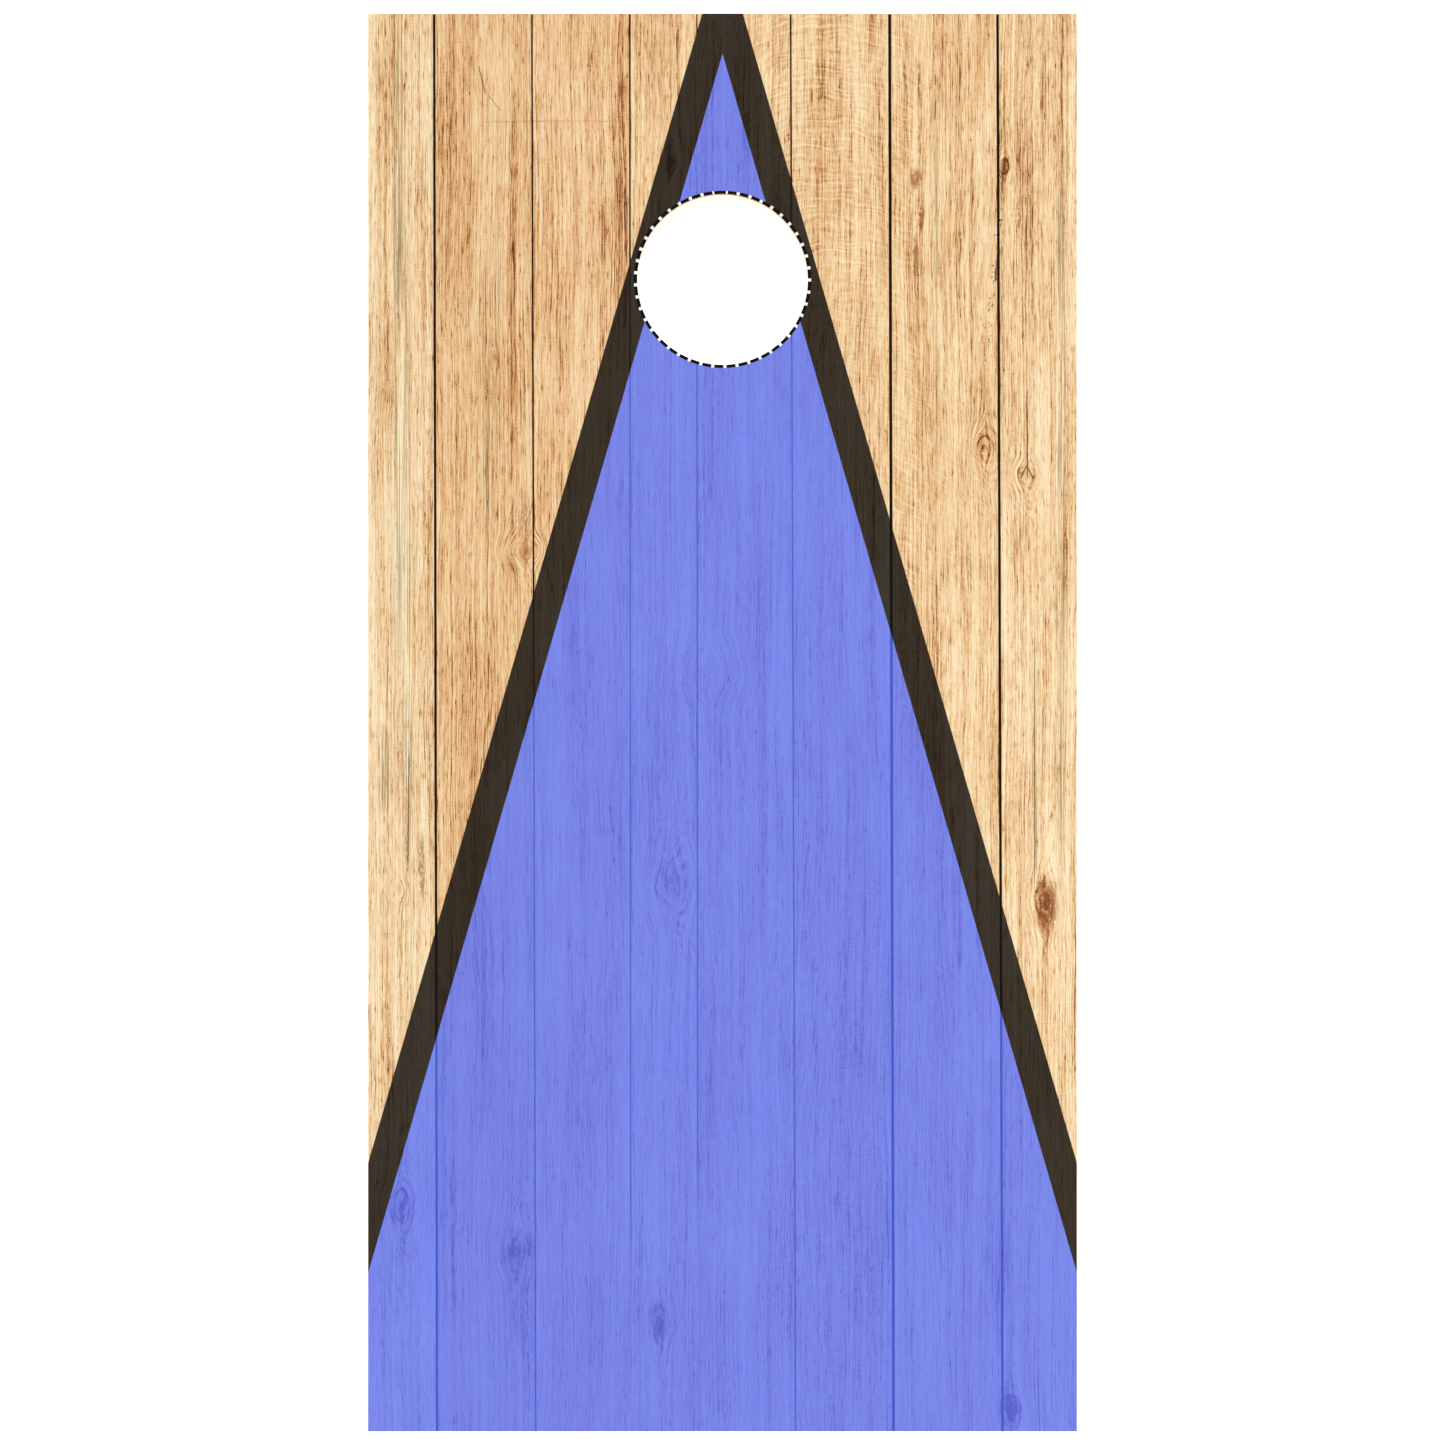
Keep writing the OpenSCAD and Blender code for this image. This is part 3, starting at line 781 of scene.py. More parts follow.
def add_object(name, bm, material):
    """Makes an object of a mesh that is drawn in millimetres on the flat board."""
    bmesh.ops.recalc_face_normals(bm, faces=bm.faces)
    mesh = bpy.data.meshes.new(name)
    scaled(bm, MM).to_mesh(mesh)
    bm.free()
    mesh.materials.append(MATERIALS[material])
    obj = new_object(name, mesh)
    obj.matrix_world = DECK
    return obj


def take_mesh(obj):
    """Removes an object and returns its mesh in millimetres."""
    bm = bmesh.new()
    bm.from_mesh(obj.data)
    bpy.data.objects.remove(obj)
    return scaled(bm, 1 / MM)


def apply_modifiers(obj):
    """Makes what the modifiers give the object's own mesh."""
    depsgraph = bpy.context.evaluated_depsgraph_get()
    mesh = bpy.data.meshes.new_from_object(obj.evaluated_get(depsgraph))
    obj.modifiers.clear()
    obj.data = mesh


def carve(obj, cutter_bm, operation="DIFFERENCE"):
    """Cuts the cutter out of the object, or joins it on."""
    cutter = add_object("cutter", cutter_bm, "zinc_steel")
    modifier = obj.modifiers.new("carve", "BOOLEAN")
    modifier.operation = operation
    modifier.solver = "EXACT"
    modifier.object = cutter
    apply_modifiers(obj)
    bpy.data.objects.remove(cutter)


def place_piece(obj, body, node, crease=35):
    """Shades the piece smooth up to a crease angle and ties it to the CAD frame."""
    obj.data.transform(DECK)
    obj.matrix_world = Matrix.Identity(4)
    obj.data.shade_smooth()
    obj.data.set_sharp_from_angle(angle=math.radians(crease))
    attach(obj, body)
    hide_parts(node)


def make_piece(name, bm, material, body, node, cutters=(), crease=35):
    """Makes a piece that takes a CAD node's place, from a mesh and what is cut out of it."""
    obj = add_object(name, bm, material)
    for cutter in cutters:
        carve(obj, cutter)
    place_piece(obj, body, node, crease)


def on_side(side):
    """Mirrors a piece that is drawn on the right."""
    return Matrix.Scale(-1, 4, (1, 0, 0)) if side == "left" else Matrix.Identity(4)


def along_x(x, y, z):
    """Turns a piece that is drawn up z so that it points along +x, and moves it."""
    return Matrix.Translation((x, y, z)) @ Matrix.Rotation(math.pi / 2, 4, "Y")


def copies(bm, matrices):
    """A mesh with a copy of bm at each matrix. Frees bm."""
    mesh = bpy.data.meshes.new("copy")
    bm.to_mesh(mesh)
    bm.free()
    joined = bmesh.new()
    for matrix in matrices:
        start = len(joined.verts)
        joined.from_mesh(mesh)
        joined.verts.ensure_lookup_table()
        bmesh.ops.transform(joined, matrix=matrix, verts=joined.verts[start:])
    bpy.data.meshes.remove(mesh)
    return joined


def grid_steps(start, end, step):
    count = max(1, round((end - start) / step))
    return [start + (end - start) * i / count for i in range(count + 1)]


# ---------------------------------------------------------------- where the screws and bolts go
FRAME_SCREW_PLACES = [
    on_side(side) @ along_x(HALF_W, y, z)
    for side, _ in SIDES for y in FRAME_SCREW_Y for z in FRAME_SCREW_Z
]
DECK_SCREW_PLACES = [
    Matrix.Translation((x, y, FACE_Z))
    for x in (RAIL_T / 2 - HALF_W, HALF_W - RAIL_T / 2) for y in DECK_SCREW_Y
] + [
    Matrix.Translation((x, y, FACE_Z)) for x in DECK_SCREW_X for y in FRAME_SCREW_Y
]
LEG_SCREW_PLACES = [
    on_side(side) @ along_x(LEG_OUTER, PIVOT_Y, PIVOT_Z - CROSSBAR_DROP + drop)
    for side, _ in SIDES for drop in (-SCREW_INSET, SCREW_INSET)
]


def pilot_holes(screw, places):
    """Cutters for the countersunk pilot holes of a row of screws."""
    head, shank, length, head_h, _ = screw
    profile = [(head + SCREW_GAP, 1.0), (head + SCREW_GAP, -0.4),
               (shank + SCREW_GAP, -head_h - SCREW_GAP), (shank + SCREW_GAP, -length + 6),
               (0.4, -length - SCREW_GAP)]
    return copies(lathe(profile, 24), places)


# ---------------------------------------------------------------- deck
def seam_at(i, y):
    """x of seam i at y, where the board's own sides count as the first and last seam."""
    if i < 0:
        return -HALF_W
    if i >= len(SEAM_X):
        return HALF_W
    return SEAM_X[i] + SEAM_LEAN[i] * (1 - y / BOARD_L)


def plank_top(x, y):
    """Height of the planks' face: each is a little cupped and worn, and sunk at its knots."""
    plank = sum(x > seam_at(i, y) for i in range(len(SEAM_X)))
    left, right = seam_at(plank - 1, y), seam_at(plank, y)
    share = 2 * (x - left) / (right - left) - 1
    height = TOP_Z - 0.05 - 0.12 * share * share
    height += 0.05 * noise.noise(Vector((x / 16, y / 190, plank * 3.1)))
    for *place, dark, _ in KNOTS:
        square = spot(x, BOARD_L - y, *place)[1]
        if square < 9:
            rim = 0.1 * math.exp(-((math.sqrt(square) - 1.4) ** 2) * 4)
            height += dark * (rim - 0.35 * math.exp(-2 * square))
    return min(height, TOP_Z - 0.03)


def plank_section(number, y, drop):
    """Outline of plank number at y, with its top lowered by drop, as at an eased end."""
    left = seam_at(number - 2, y)
    right = seam_at(number - 1, y)
    if number > 1:
        left += SEAM_GAP[number - 2] / 2 + 0.1 * noise.noise(Vector((y / 21, number, 1.5)))
    if number < PLANKS:
        right -= SEAM_GAP[number - 1] / 2 + 0.1 * noise.noise(Vector((y / 21, number, 6.5)))
    # The arris at each side, from the face down: how far in it is, and how far below the face
    arris = [(2.2, 0.0), (0.8, 0.04), (0.3, 0.22), (0.08, 0.55)]
    left_side = [(left + inset, plank_top(max(left + inset, left + 0.4), y) - fall)
                 for inset, fall in reversed(arris)]
    right_side = [(right - inset, plank_top(min(right - inset, right - 0.4), y) - fall)
                  for inset, fall in arris]
    inner = [left + 2.2 + (right - left - 4.4) * i / 17 for i in range(1, 17)]
    middle = [(x, plank_top(x, y)) for x in inner]
    for plank, split_x, start, end, width, depth in SPLITS:
        if plank != number:
            continue
        back = BOARD_L - y
        reach = max(0.0, 1 - abs(back - (start + end) / 2) / ((end - start) / 2))
        centre = split_x + 0.5 * noise.noise(Vector((y / 9, 2.0, 7.0)))
        open_w = max(0.06, width * math.sqrt(reach))
        lip = plank_top(centre, y)
        groove = [(centre - open_w, lip), (centre, lip - depth * min(1.0, 2 * reach) - 0.01),
                  (centre + open_w, lip)]
        middle = [point for point in middle if abs(point[0] - centre) > 1.2] + groove
    middle.sort()
    # Splits add points, of which the outermost are dropped past 18
    while len(middle) > 18:
        middle.pop(0 if middle[1][0] - middle[0][0] < middle[-1][0] - middle[-2][0] else -1)
    outline = [(left + 0.3, FACE_Z), (left, FACE_Z + 0.4)] + left_side + middle + right_side
    outline += [(right, FACE_Z + 0.4), (right - 0.3, FACE_Z)]
    return [(x, y, z if z < FACE_Z + 1 else z - drop) for x, z in outline]


def even_rings(rings):
    """Gives every ring as many points as the longest, by halving its longest top edges."""
    count = max(len(ring) for ring in rings)
    for ring in rings:
        while len(ring) < count:
            gaps = [(ring[i + 1][0] - ring[i][0], i) for i in range(2, len(ring) - 3)]
            i = max(gaps)[1]
            ring.insert(i + 1, tuple((a + b) / 2 for a, b in zip(ring[i], ring[i + 1])))
    return rings


def hole_cutter(radius, low, high, ease=0.3, count=144):
    profile = [(radius, low - 2), (radius, high - ease), (radius + ease, high),
               (radius + ease, high + 2)]
    return moved(lathe(profile, count), Matrix.Translation((0, HOLE_Y, 0)))


def make_planks():
    ends = [(0, 0.7), (0.25, 0.25), (0.8, 0.04)]
    inner = [(y, 0) for y in grid_steps(3, BOARD_L - 3, 6)]
    stations = ends + inner + [(BOARD_L - y, drop) for y, drop in reversed(ends)]
    for number in range(1, PLANKS + 1):
        rings = even_rings([plank_section(number, y, drop) for y, drop in stations])
        cutters = [hole_cutter(HOLE_R, FACE_Z, TOP_Z)] if number in HOLED_PLANKS else []
        make_piece(f"plank_{number}", loft(rings), "face_wood", "board",
                   f"face_plank_{number}", cutters)


def make_core():
    """The plywood sheet under the planks, with slightly eased edges."""
    eases = [(0.0, 0.5), (0.2, 0.12), (0.7, 0.0), (CORE_T / 2, 0.0), (CORE_T - 0.7, 0.0),
             (CORE_T - 0.2, 0.12), (CORE_T, 0.5)]
    xs = grid_steps(-HALF_W, HALF_W, 24)
    ys = grid_steps(0, BOARD_L, 24)
    outline = [(x, 0) for x in xs[:-1]] + [(HALF_W, y) for y in ys[:-1]]
    outline += [(x, BOARD_L) for x in reversed(xs[1:])] + [(-HALF_W, y) for y in reversed(ys[1:])]

    def worn(x, y, height, inset):
        rough = inset + 0.12 * abs(noise.noise(Vector((x / 9, y / 9, height))))
        return (min(max(x, rough - HALF_W), HALF_W - rough), min(max(y, rough), BOARD_L - rough),
                CORE_Z + height)

    rings = [[worn(x, y, height, inset) for x, y in outline] for height, inset in eases]
    cutters = [hole_cutter(HOLE_R, CORE_Z, FACE_Z, ease=0.0),
               pilot_holes(DECK_SCREW, DECK_SCREW_PLACES)]
    make_piece("plywood_core", loft(rings), "core_plywood", "board", "deck_core", cutters)


# ---------------------------------------------------------------- films and ring
def film_height(x, y):
    """Height of a film's underside: it lies on the planks and dips a little into the seams."""
    height = plank_top(x, y) + 0.01
    for i in range(len(SEAM_X)):
        off = (x - seam_at(i, y)) / (SEAM_GAP[i] * 0.55 + 0.25)
        if abs(off) < 3:
            height -= 0.16 * SEAM_GAP[i] / 2 * math.exp(-off * off)
    return height


def film_columns(y):
    """x of the film's grid lines at y, which are close together at the seams."""
    columns = []
    for plank in range(PLANKS):
        left, right = seam_at(plank - 1, y), seam_at(plank, y)
        columns += [left, left + 0.7, left + 1.6, left + 3]
        columns += [left + 3 + (right - left - 6) * i / 7 for i in range(1, 7)]
        columns += [right - 3, right - 1.6, right - 0.7]
    return columns + [HALF_W]


def film_object(name, material, inside, lines):
    """A film that covers the board where inside(x, y) is true, cut cleanly along the lines."""
    bm = bmesh.new()
    rows = []
    for y in grid_steps(0, BOARD_L, 9):
        rows.append([bm.verts.new((x, y, 0)) for x in film_columns(y)])
    for near, far in zip(rows, rows[1:]):
        for i in range(len(near) - 1):
            bm.faces.new((near[i], near[i + 1], far[i + 1], far[i]))
    for point, normal in lines:
        geometry = bm.verts[:] + bm.edges[:] + bm.faces[:]
        bmesh.ops.bisect_plane(bm, geom=geometry, dist=1e-5, plane_co=point, plane_no=normal)
    outside = [f for f in bm.faces if not inside(*f.calc_center_median().xy)]
    bmesh.ops.delete(bm, geom=outside, context="FACES")
    for vert in bm.verts:
        vert.co.z = film_height(vert.co.x, vert.co.y) + PRINT_T
    film = add_object(name, bm, material)
    solid = film.modifiers.new("thickness", "SOLIDIFY")
    solid.thickness = PRINT_T * MM
    solid.offset = -1
    apply_modifiers(film)
    carve(film, hole_cutter(RING_R, TOP_Z - 3, TOP_Z + 2, ease=0.0, count=180))
    return film


def slant(tip, side):
    """The straight edge that runs from a triangle's tip down one side."""
    return (0, tip, 0), Vector((side, FLARE, 0)).normalized()


def make_films():
    def in_triangle(x, y, tip):
        return abs(x) < FLARE * (tip - y)

    inner = [slant(APEX_Y, -1), slant(APEX_Y, 1)]
    outer = [slant(BORDER_APEX_Y, -1), slant(BORDER_APEX_Y, 1)]
    blue = film_object("blue_film", "blue_vinyl", lambda x, y: in_triangle(x, y, APEX_Y), inner)
    place_piece(blue, "board", "triangle_decal")

    def in_border(x, y):
        return in_triangle(x, y, BORDER_APEX_Y) and not in_triangle(x, y, APEX_Y)

    smoke = film_object("border_film", "smoke_vinyl", in_border, inner + outer)
    place_piece(smoke, "board", "border_decal")


def sector(bm, start, end):
    """One block of the ring between two angles, which follows the planks under it."""
    rings = []
    steps = max(3, round(end - start))
    for i in range(steps + 1):
        angle = math.radians(start + (end - start) * i / steps)
        across, along = math.cos(angle), math.sin(angle)
        points = []
        for radius, lift in ((HOLE_R, 0.0), (RING_R, 0.0), (RING_R, 0.19), (RING_R - 0.06, 0.22),
                             (HOLE_R + 0.06, 0.22), (HOLE_R, 0.19)):
            base = film_height((radius + 0.6) * across, HOLE_Y + (radius + 0.6) * along)
            points.append((radius * across, HOLE_Y + radius * along, base + lift))
        rings.append(points)
    loft(rings, target=bm)


def make_ring():
    pitch = 360 / DASHES
    blacks = []
    for k in range(DASHES):
        middle = DASH_START + k * pitch
        half = (LONG_DASH_ANGLE if k == LONG_DASH else DASH_ANGLE) / 2
        blacks.append((middle - half, middle + half))
    black_bm, white_bm = bmesh.new(), bmesh.new()
    for k, (start, end) in enumerate(blacks):
        sector(black_bm, start, end)
        after = blacks[(k + 1) % DASHES][0] + (360 if k == DASHES - 1 else 0)
        sector(white_bm, end, after)
    make_piece("ring_dashes", black_bm, "black_vinyl", "board", "ring_decal_dashes")
    make_piece("ring_gaps", white_bm, "white_vinyl", "board", "ring_decal")


# ---------------------------------------------------------------- lumber
def eased_section(width, height, radius, seed, place):
    """A rectangle with round corners whose faces are very slightly hollow or crowned."""
    points = []
    corners = [(width - radius, height - radius, 0), (radius, height - radius, 90),
               (radius, radius, 180), (width - radius, radius, 270)]
    for corner_x, corner_y, start in corners:
        for step in range(6):
            angle = math.radians(start + step * 18)
            points.append((corner_x + radius * math.cos(angle),
                           corner_y + radius * math.sin(angle)))
    section = []
    for i, (a, b) in enumerate(points):
        c, d = points[(i + 1) % len(points)]
        parts = 4 if math.hypot(c - a, d - b) > 10 else 1
        section += [(a + (c - a) * step / parts, b + (d - b) * step / parts)
                    for step in range(parts)]
    centre = Vector((width / 2, height / 2))
    out = []
    for a, b in section:
        wear = 0.12 * (1 + noise.noise(Vector((a / 14, b / 14, place / 70 + seed))))
        inward = (centre - Vector((a, b))).normalized() * wear
        out.append((a + inward.x, b + inward.y))
    return out


def stick(length, width, height, radius, seed):
    """A length of lumber along +x from the origin, width in y and height in z, with eased ends."""
    ends = [(0.0, 0.9), (0.25, 0.35), (0.8, 0.0)]
    stations = ends + [(x, 0.0) for x in grid_steps(6, length - 6, 20)]
    stations += [(length - x, inset) for x, inset in reversed(ends)]

    def shrunk(place, size, inset):
        return size / 2 + (place - size / 2) * (1 - 2 * inset / size)

    return loft([[(x, shrunk(a, width, inset), shrunk(b, height, inset))
                  for a, b in eased_section(width, height, radius, seed, x)]
                 for x, inset in stations])


def rail_holes(measure, *least):
    """Cutters for a rail's pilot holes: frame screws, then deck screws, where the measure of a
    screw's place is over the least for that kind of screw."""
    rows = ((LONG_SCREW, FRAME_SCREW_PLACES), (DECK_SCREW, DECK_SCREW_PLACES))
    return [pilot_holes(screw, [m for m in places if measure(m.translation) > low])
            for (screw, places), low in zip(rows, least)]


def make_frame():
    for name, y, seed in (("front_rail", 0, 2), ("rear_rail", BOARD_L - RAIL_T, 5),
                          ("mid_brace", (BOARD_L - RAIL_T) / 2, 8)):
        bm = moved(stick(2 * RAIL_INNER, RAIL_T, RAIL_H, LUMBER_ROUND, seed),
                   Matrix.Translation((-RAIL_INNER, y, 0)))
        cutters = rail_holes(lambda place: -abs(place.y - y - RAIL_T / 2), -1, -1)
        make_piece(f"{name}_lumber", bm, "pine_x", "board", name, cutters)
    for (side, sign), seed in zip(SIDES, (11, 14)):
        # Turned so that its length runs along +y and its width goes outwards from the inner face
        turned = Matrix(((0, sign, 0, sign * RAIL_INNER), (1, 0, 0, 0), (0, 0, 1, 0), (0, 0, 0, 1)))
        bm = moved(stick(BOARD_L, RAIL_T, RAIL_H, LUMBER_ROUND, seed), turned)
        cutters = rail_holes(lambda place: place.x * sign, 0, 200) + bolt_seat(side)
        make_piece(f"side_rail_{side}_lumber", bm, "pine_y", "board", f"side_rail_{side}",
                   cutters)


def bolt_bore(side, profile):
    """Cutter about the pivot bolt's axis, from a profile of (radius, distance from the board's
    middle)."""
    return moved(lathe(profile, 64), on_side(side) @ along_x(0, PIVOT_Y, PIVOT_Z))


def bolt_seat(side):
    """Cutters for the pivot bolt in a side rail: its bore, the bite of its square neck and the
    counterbore that its head is sunk in."""
    half = BOLT_R + 0.05
    bite = HEAD_X - NECK_L - FIT
    square = [(-half, -half), (half, -half), (half, half), (-half, half)]
    neck = loft([[(x, PIVOT_Y + a, PIVOT_Z + b) for a, b in square] for x in (bite, HEAD_X + 1)])
    seat = [(SEAT_R, HEAD_X), (SEAT_R, HALF_W - 0.6), (SEAT_R + 0.5, HALF_W),
            (SEAT_R + 0.5, HALF_W + 2)]
    return [bolt_bore(side, [(BORE_R, RAIL_INNER - 2), (BORE_R, HEAD_X + 1)]),
            moved(neck, on_side(side)), bolt_bore(side, seat)]


# ---------------------------------------------------------------- legs
def leg_outline():
    """The leg's outline from the foot's front corner, in (y, z): its foot is cut along the
    ground."""
    def ground(y):
        return -y * math.tan(TILT)

    front, rear = PIVOT_Y - PIVOT_R, PIVOT_Y + PIVOT_R
    foot = [front + (rear - front) * step / 10 for step in range(10)]
    arc = [math.pi * step / 48 for step in range(48)]
    points = [(y, ground(y)) for y in foot]
    points += [(rear, ground(rear) + (PIVOT_Z - ground(rear)) * step / 14) for step in range(14)]
    points += [(PIVOT_Y + PIVOT_R * math.cos(a), PIVOT_Z + PIVOT_R * math.sin(a)) for a in arc]
    points += [(front, PIVOT_Z + (ground(front) - PIVOT_Z) * step / 14) for step in range(14)]
    return points


def inset_outline(points, distance):
    """Moves a convex outline inwards, square to its edges."""
    out = []
    for i, (y, z) in enumerate(points):
        before, after = points[i - 1], points[(i + 1) % len(points)]
        normals = []
        for (a, b), (c, d) in ((before, (y, z)), ((y, z), after)):
            length = math.hypot(c - a, d - b)
            normals.append(Vector((-(d - b) / length, (c - a) / length)))
        bisector = normals[0] + normals[1]
        step = bisector * (2 / bisector.length_squared * distance)
        out.append((y + step.x, z + step.y))
    return out


def make_legs():
    outline = leg_outline()
    levels = [(0.0, 2.9), (0.25, 1.8), (0.9, 0.85), (1.8, 0.28), (3.0, 0.02)]
    levels += [(RAIL_T - x, inset) for x, inset in reversed(levels)]
    rings = [[(LEG_INNER + x, a, b) for a, b in inset_outline(outline, inset + 0.03)]
             for x, inset in levels]
    for side, sign in SIDES:
        screws = [m for m in LEG_SCREW_PLACES if m.translation.x * sign > 0]
        cutters = [bolt_bore(side, [(BORE_R, LEG_INNER - 2), (BORE_R, LEG_OUTER + 2)]),
                   pilot_holes(LONG_SCREW, screws)]
        make_piece(f"leg_{side}_lumber", moved(loft(rings), on_side(side)), "pine_z",
                   "leg_frame", f"leg_{side}", cutters)

    low = PIVOT_Z - CROSSBAR_DROP - LEG_W / 2
    bar = moved(stick(2 * LEG_INNER, RAIL_T, LEG_W, LUMBER_ROUND, 17),
                Matrix.Translation((-LEG_INNER, PIVOT_Y - RAIL_T / 2, low)))
    make_piece("crossbar_lumber", bar, "pine_x", "leg_frame", "leg_crossbar",
               [pilot_holes(LONG_SCREW, LEG_SCREW_PLACES)])


# ---------------------------------------------------------------- hardware
def thread_rings(radius, depth, pitch, start, end, count, steps, taper=0.0):
    """Rings of a screw thread from height start down to end. The crests are at radius, and taper
    is the length over which the thread shrinks to a point at its end."""
    rings = []
    total = round((start - end) / pitch * steps)
    for i in range(total + 1):
        height = start + (end - start) * i / total
        fade_in = min(1.0, (start - height) / pitch)
        left = height - end
        shrink = 0.12 + 0.88 * left / taper if taper else 0.75 + 0.25 * left / pitch
        ring = []
        for k in range(count):
            phase = (height / pitch - k / count) % 1.0
            groove = min(1.0, abs(phase - 0.5) * 2.6)
            r = (radius - depth * (1 - groove) * fade_in) * min(1.0, shrink)
            angle = 2 * math.pi * k / count
            ring.append((r * math.cos(angle), r * math.sin(angle), height))
        rings.append(ring)
    return rings


def screw_mesh(screw):
    """A countersunk wood screw down -z from the origin, with a cross recess and a rolled thread."""
    head, shank, length, head_h, pitch = screw
    count = 20
    rings = round_rings([
        (head - 0.35, 0.0), (head - 0.08, -0.08), (head, -0.25), (head - 0.05, -0.5),
        (shank * 1.25, -head_h * 0.86), (shank * 0.97, -head_h - 0.8),
        (shank * 0.95, -length * 0.38)], count)
    rings += thread_rings(shank, shank * 0.3, pitch, -length * 0.4, -length, count, 8, taper=6)
    obj = add_object("screw", loft(rings), "screw_steel")
    reach, slot_w, depth = head * 0.6, 0.65, 2.0
    for turn_by in (0, math.pi / 2):
        block = []
        for height, grow in ((-depth, 0.45), (0.5, 1.08)):
            a, b = reach * grow, slot_w * (0.7 + 0.3 * grow)
            block.append([(-a, -b, height), (a, -b, height), (a, b, height), (-a, b, height)])
        carve(obj, moved(loft(block), Matrix.Rotation(turn_by, 4, "Z")))
    return take_mesh(obj)


def make_screws():
    for name, screw, places, body in (
            ("deck_screws", DECK_SCREW, DECK_SCREW_PLACES, "board"),
            ("frame_screws", LONG_SCREW, FRAME_SCREW_PLACES, "board"),
            ("leg_screws", LONG_SCREW, LEG_SCREW_PLACES, "leg_frame")):
        turned = [m @ Matrix.Rotation(1.7 * i, 4, "Z") for i, m in enumerate(places)]
        make_piece(f"{name}_steel", copies(screw_mesh(screw), turned), "screw_steel", body, name)


def square_ring(half, corner, height, count):
    """A square ring with eased corners, with its points at the same angles as a round ring's."""
    ring = []
    for c, s, _ in round_ring(1.0, height, count):
        reach = min(half / max(abs(c), abs(s)), half * math.sqrt(2) - corner)
        ring.append((reach * c, reach * s, height))
    return ring


def carriage_bolt_mesh():
    """A carriage bolt: domed head above z = 0, square neck and threaded shank below it."""
    count = 48
    shank_r = BOLT_R - 0.02
    cap_r = (HEAD_R ** 2 + HEAD_H ** 2) / (2 * HEAD_H)
    rings = []
    for step in range(12):
        height = HEAD_H * (1 - (step / 11) ** 2 * 0.94)
        level = HEAD_H - cap_r
        radius = math.sqrt(max(0.0, cap_r ** 2 - (height - level) ** 2))
        rings.append(round_ring(max(radius, 0.4), height, count))
    rings += round_rings([(HEAD_R - 0.05, 0.14), (HEAD_R - 0.25, 0.0)], count)
    rings += [square_ring(BOLT_R, 0.6, 0.0, count), square_ring(BOLT_R, 0.6, -NECK_L + 0.5, count),
              square_ring(BOLT_R - 0.2, 0.9, -NECK_L, count)]
    rings += round_rings([(shank_r, -NECK_L - 0.4), (shank_r, -40)], count)
    rings += thread_rings(shank_r, 0.85, BOLT_PITCH, -40.5, -BOLT_L + 0.6, count, 8)
    return loft(rings + round_rings([(BOLT_R - 1.2, -BOLT_L + 0.3), (BOLT_R - 1.5, -BOLT_L)], count))


def washer_mesh():
    """A punched washer from z = 0 up, rounded on one side and burred on the other."""
    outer, inner, top = WASHER_R, WASHER_BORE_R, WASHER_T
    profile = [
        (inner + 0.25, 0.0), (outer - 0.12, 0.0), (outer, 0.15), (outer, top - 0.5),
        (outer - 0.15, top - 0.15), (outer - 0.5, top), (inner + 0.35, top), (inner, top - 0.3),
        (inner, 0.2),
    ]
    rings = [[(r * c, r * s, h) for r, h in profile] for c, s, _ in round_ring(1.0, 0.0, 64)]
    return loft(rings, looped=True)


def wing_mesh(sign):
    """One wing of a wing nut, which leans outwards from the hub to a round tip."""
    rings = []
    for step in range(15):
        share = step / 14
        centre_x = 7.6 + 5.7 * share ** 0.9
        centre_z = 4.4 + 9.4 * share
        half_w = 3.6 + 1.2 * math.sin(math.pi * min(1.0, share * 0.9 + 0.2)) + 0.4 * share
        half_t = 2.1 - 0.6 * share
        if step > 10:
            round_off = math.sqrt(max(0.0, 1 - ((step - 10) / 4.2) ** 2))
            half_w *= round_off
            half_t *= 0.4 + 0.6 * round_off
        lean = math.radians(28)
        ring = []
        for k in range(20):
            angle = 2 * math.pi * k / 20
            across = half_w * math.copysign(abs(math.cos(angle)) ** 0.8, math.cos(angle))
            thick = half_t * math.copysign(abs(math.sin(angle)) ** 0.7, math.sin(angle))
            ring.append((sign * (centre_x + across * math.cos(lean)), thick,
                         centre_z - across * math.sin(lean)))
        rings.append(ring)
    return loft(rings)


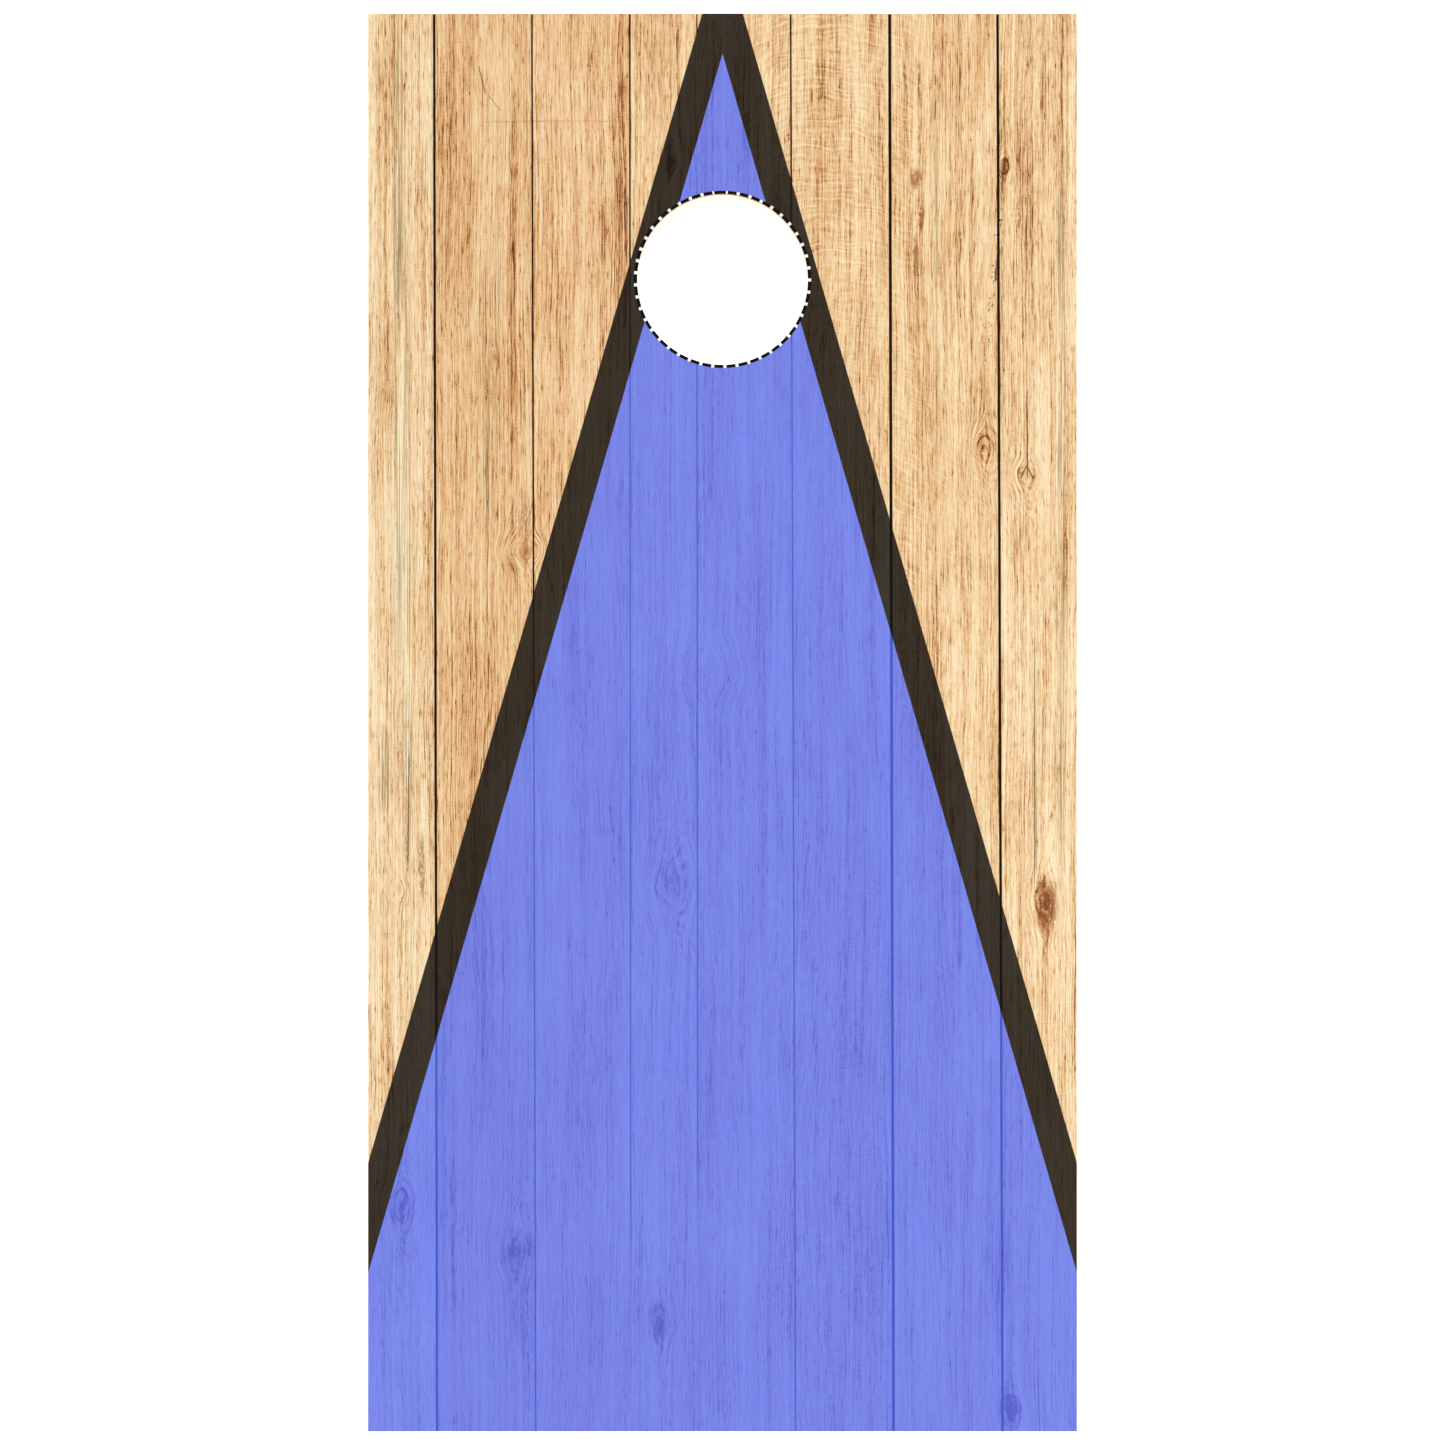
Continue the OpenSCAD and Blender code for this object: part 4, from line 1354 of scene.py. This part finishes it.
def wing_nut_mesh():
    """A cast wing nut from z = 0 up: hub and wings melted together, then bored."""
    hub = lathe([(8.4, 0.0), (8.72, 0.3), (8.7, 1.4), (7.4, 6.5), (6.75, 9.9), (6.4, 10.4)], 64)
    nut = add_object("nut", hub, "zinc_steel")
    for sign in (-1, 1):
        carve(nut, wing_mesh(sign), "UNION")
    remesh = nut.modifiers.new("cast", "REMESH")
    remesh.mode = "VOXEL"
    remesh.voxel_size = 0.42 * MM
    smooth = nut.modifiers.new("flow", "SMOOTH")
    smooth.factor = 0.5
    smooth.iterations = 6
    apply_modifiers(nut)
    mouth = BORE_R + 0.5
    rings = round_rings([(BORE_R + 0.6, 14), (BORE_R + 0.6, 10.9), (BORE_R, 9.6)])
    rings += thread_rings(BORE_R + 0.03, 0.0, BOLT_PITCH, 9.4, 1.2, 48, 4)
    carve(nut, loft(rings + round_rings([(BORE_R, 0.9), (mouth, -0.1), (mouth, -2)])))
    return take_mesh(nut)


def make_hardware():
    flip = Matrix.Rotation(math.pi, 4, "X")
    for side, _ in SIDES:
        for name, bm, x, turned, body, node in (
                (f"bolt_{side}", carriage_bolt_mesh(), HEAD_X, False, "board", "carriage_bolt"),
                (f"spacer_{side}", washer_mesh(), RAIL_INNER - WASHER_T - FIT, False, "board",
                 "spacer_washer"),
                (f"clamp_{side}_washer", washer_mesh(), NUT_OUTER, False, f"clamp_{side}",
                 "clamp_washer"),
                (f"wing_nut_{side}_cast", wing_nut_mesh(), NUT_OUTER, True, f"nut_{side}",
                 "wing_nut")):
            place = on_side(side) @ along_x(x, PIVOT_Y, PIVOT_Z)
            make_piece(name, copies(bm, [place @ flip if turned else place]), "zinc_steel",
                       body, f"{node}_{side}", crease=50 if turned else 35)


def make_floor():
    """A pale studio floor, a little self-lit so that it stays even under the board."""
    material, web = new_material("floor")
    x, y, _ = web.place()
    tone = web.noise(x / 900, y / 900)
    colour = web.mix(web.lerp(tone, -0.3, 0.3, 0.0, 1.0), rgb(250, 250, 250), rgb(246, 246, 246))
    finish_material(web, colour, 0.8, tone, 0.02, 0.001, Specular_IOR_Level=0.1,
                    Emission_Color=(1, 1, 1, 1), Emission_Strength=0.64)
    corners = [(-1, -1), (1, -1), (1, 1), (-1, 1)]
    mesh = bpy.data.meshes.new("floor")
    mesh.from_pydata([(FLOOR_HALF * a, FLOOR_HALF * b, 0) for a, b in corners], [], [range(4)])
    mesh.materials.append(material)
    new_object("floor", mesh)


for make in (make_planks, make_core, make_films, make_ring, make_frame, make_legs, make_screws,
             make_hardware, make_floor):
    make()
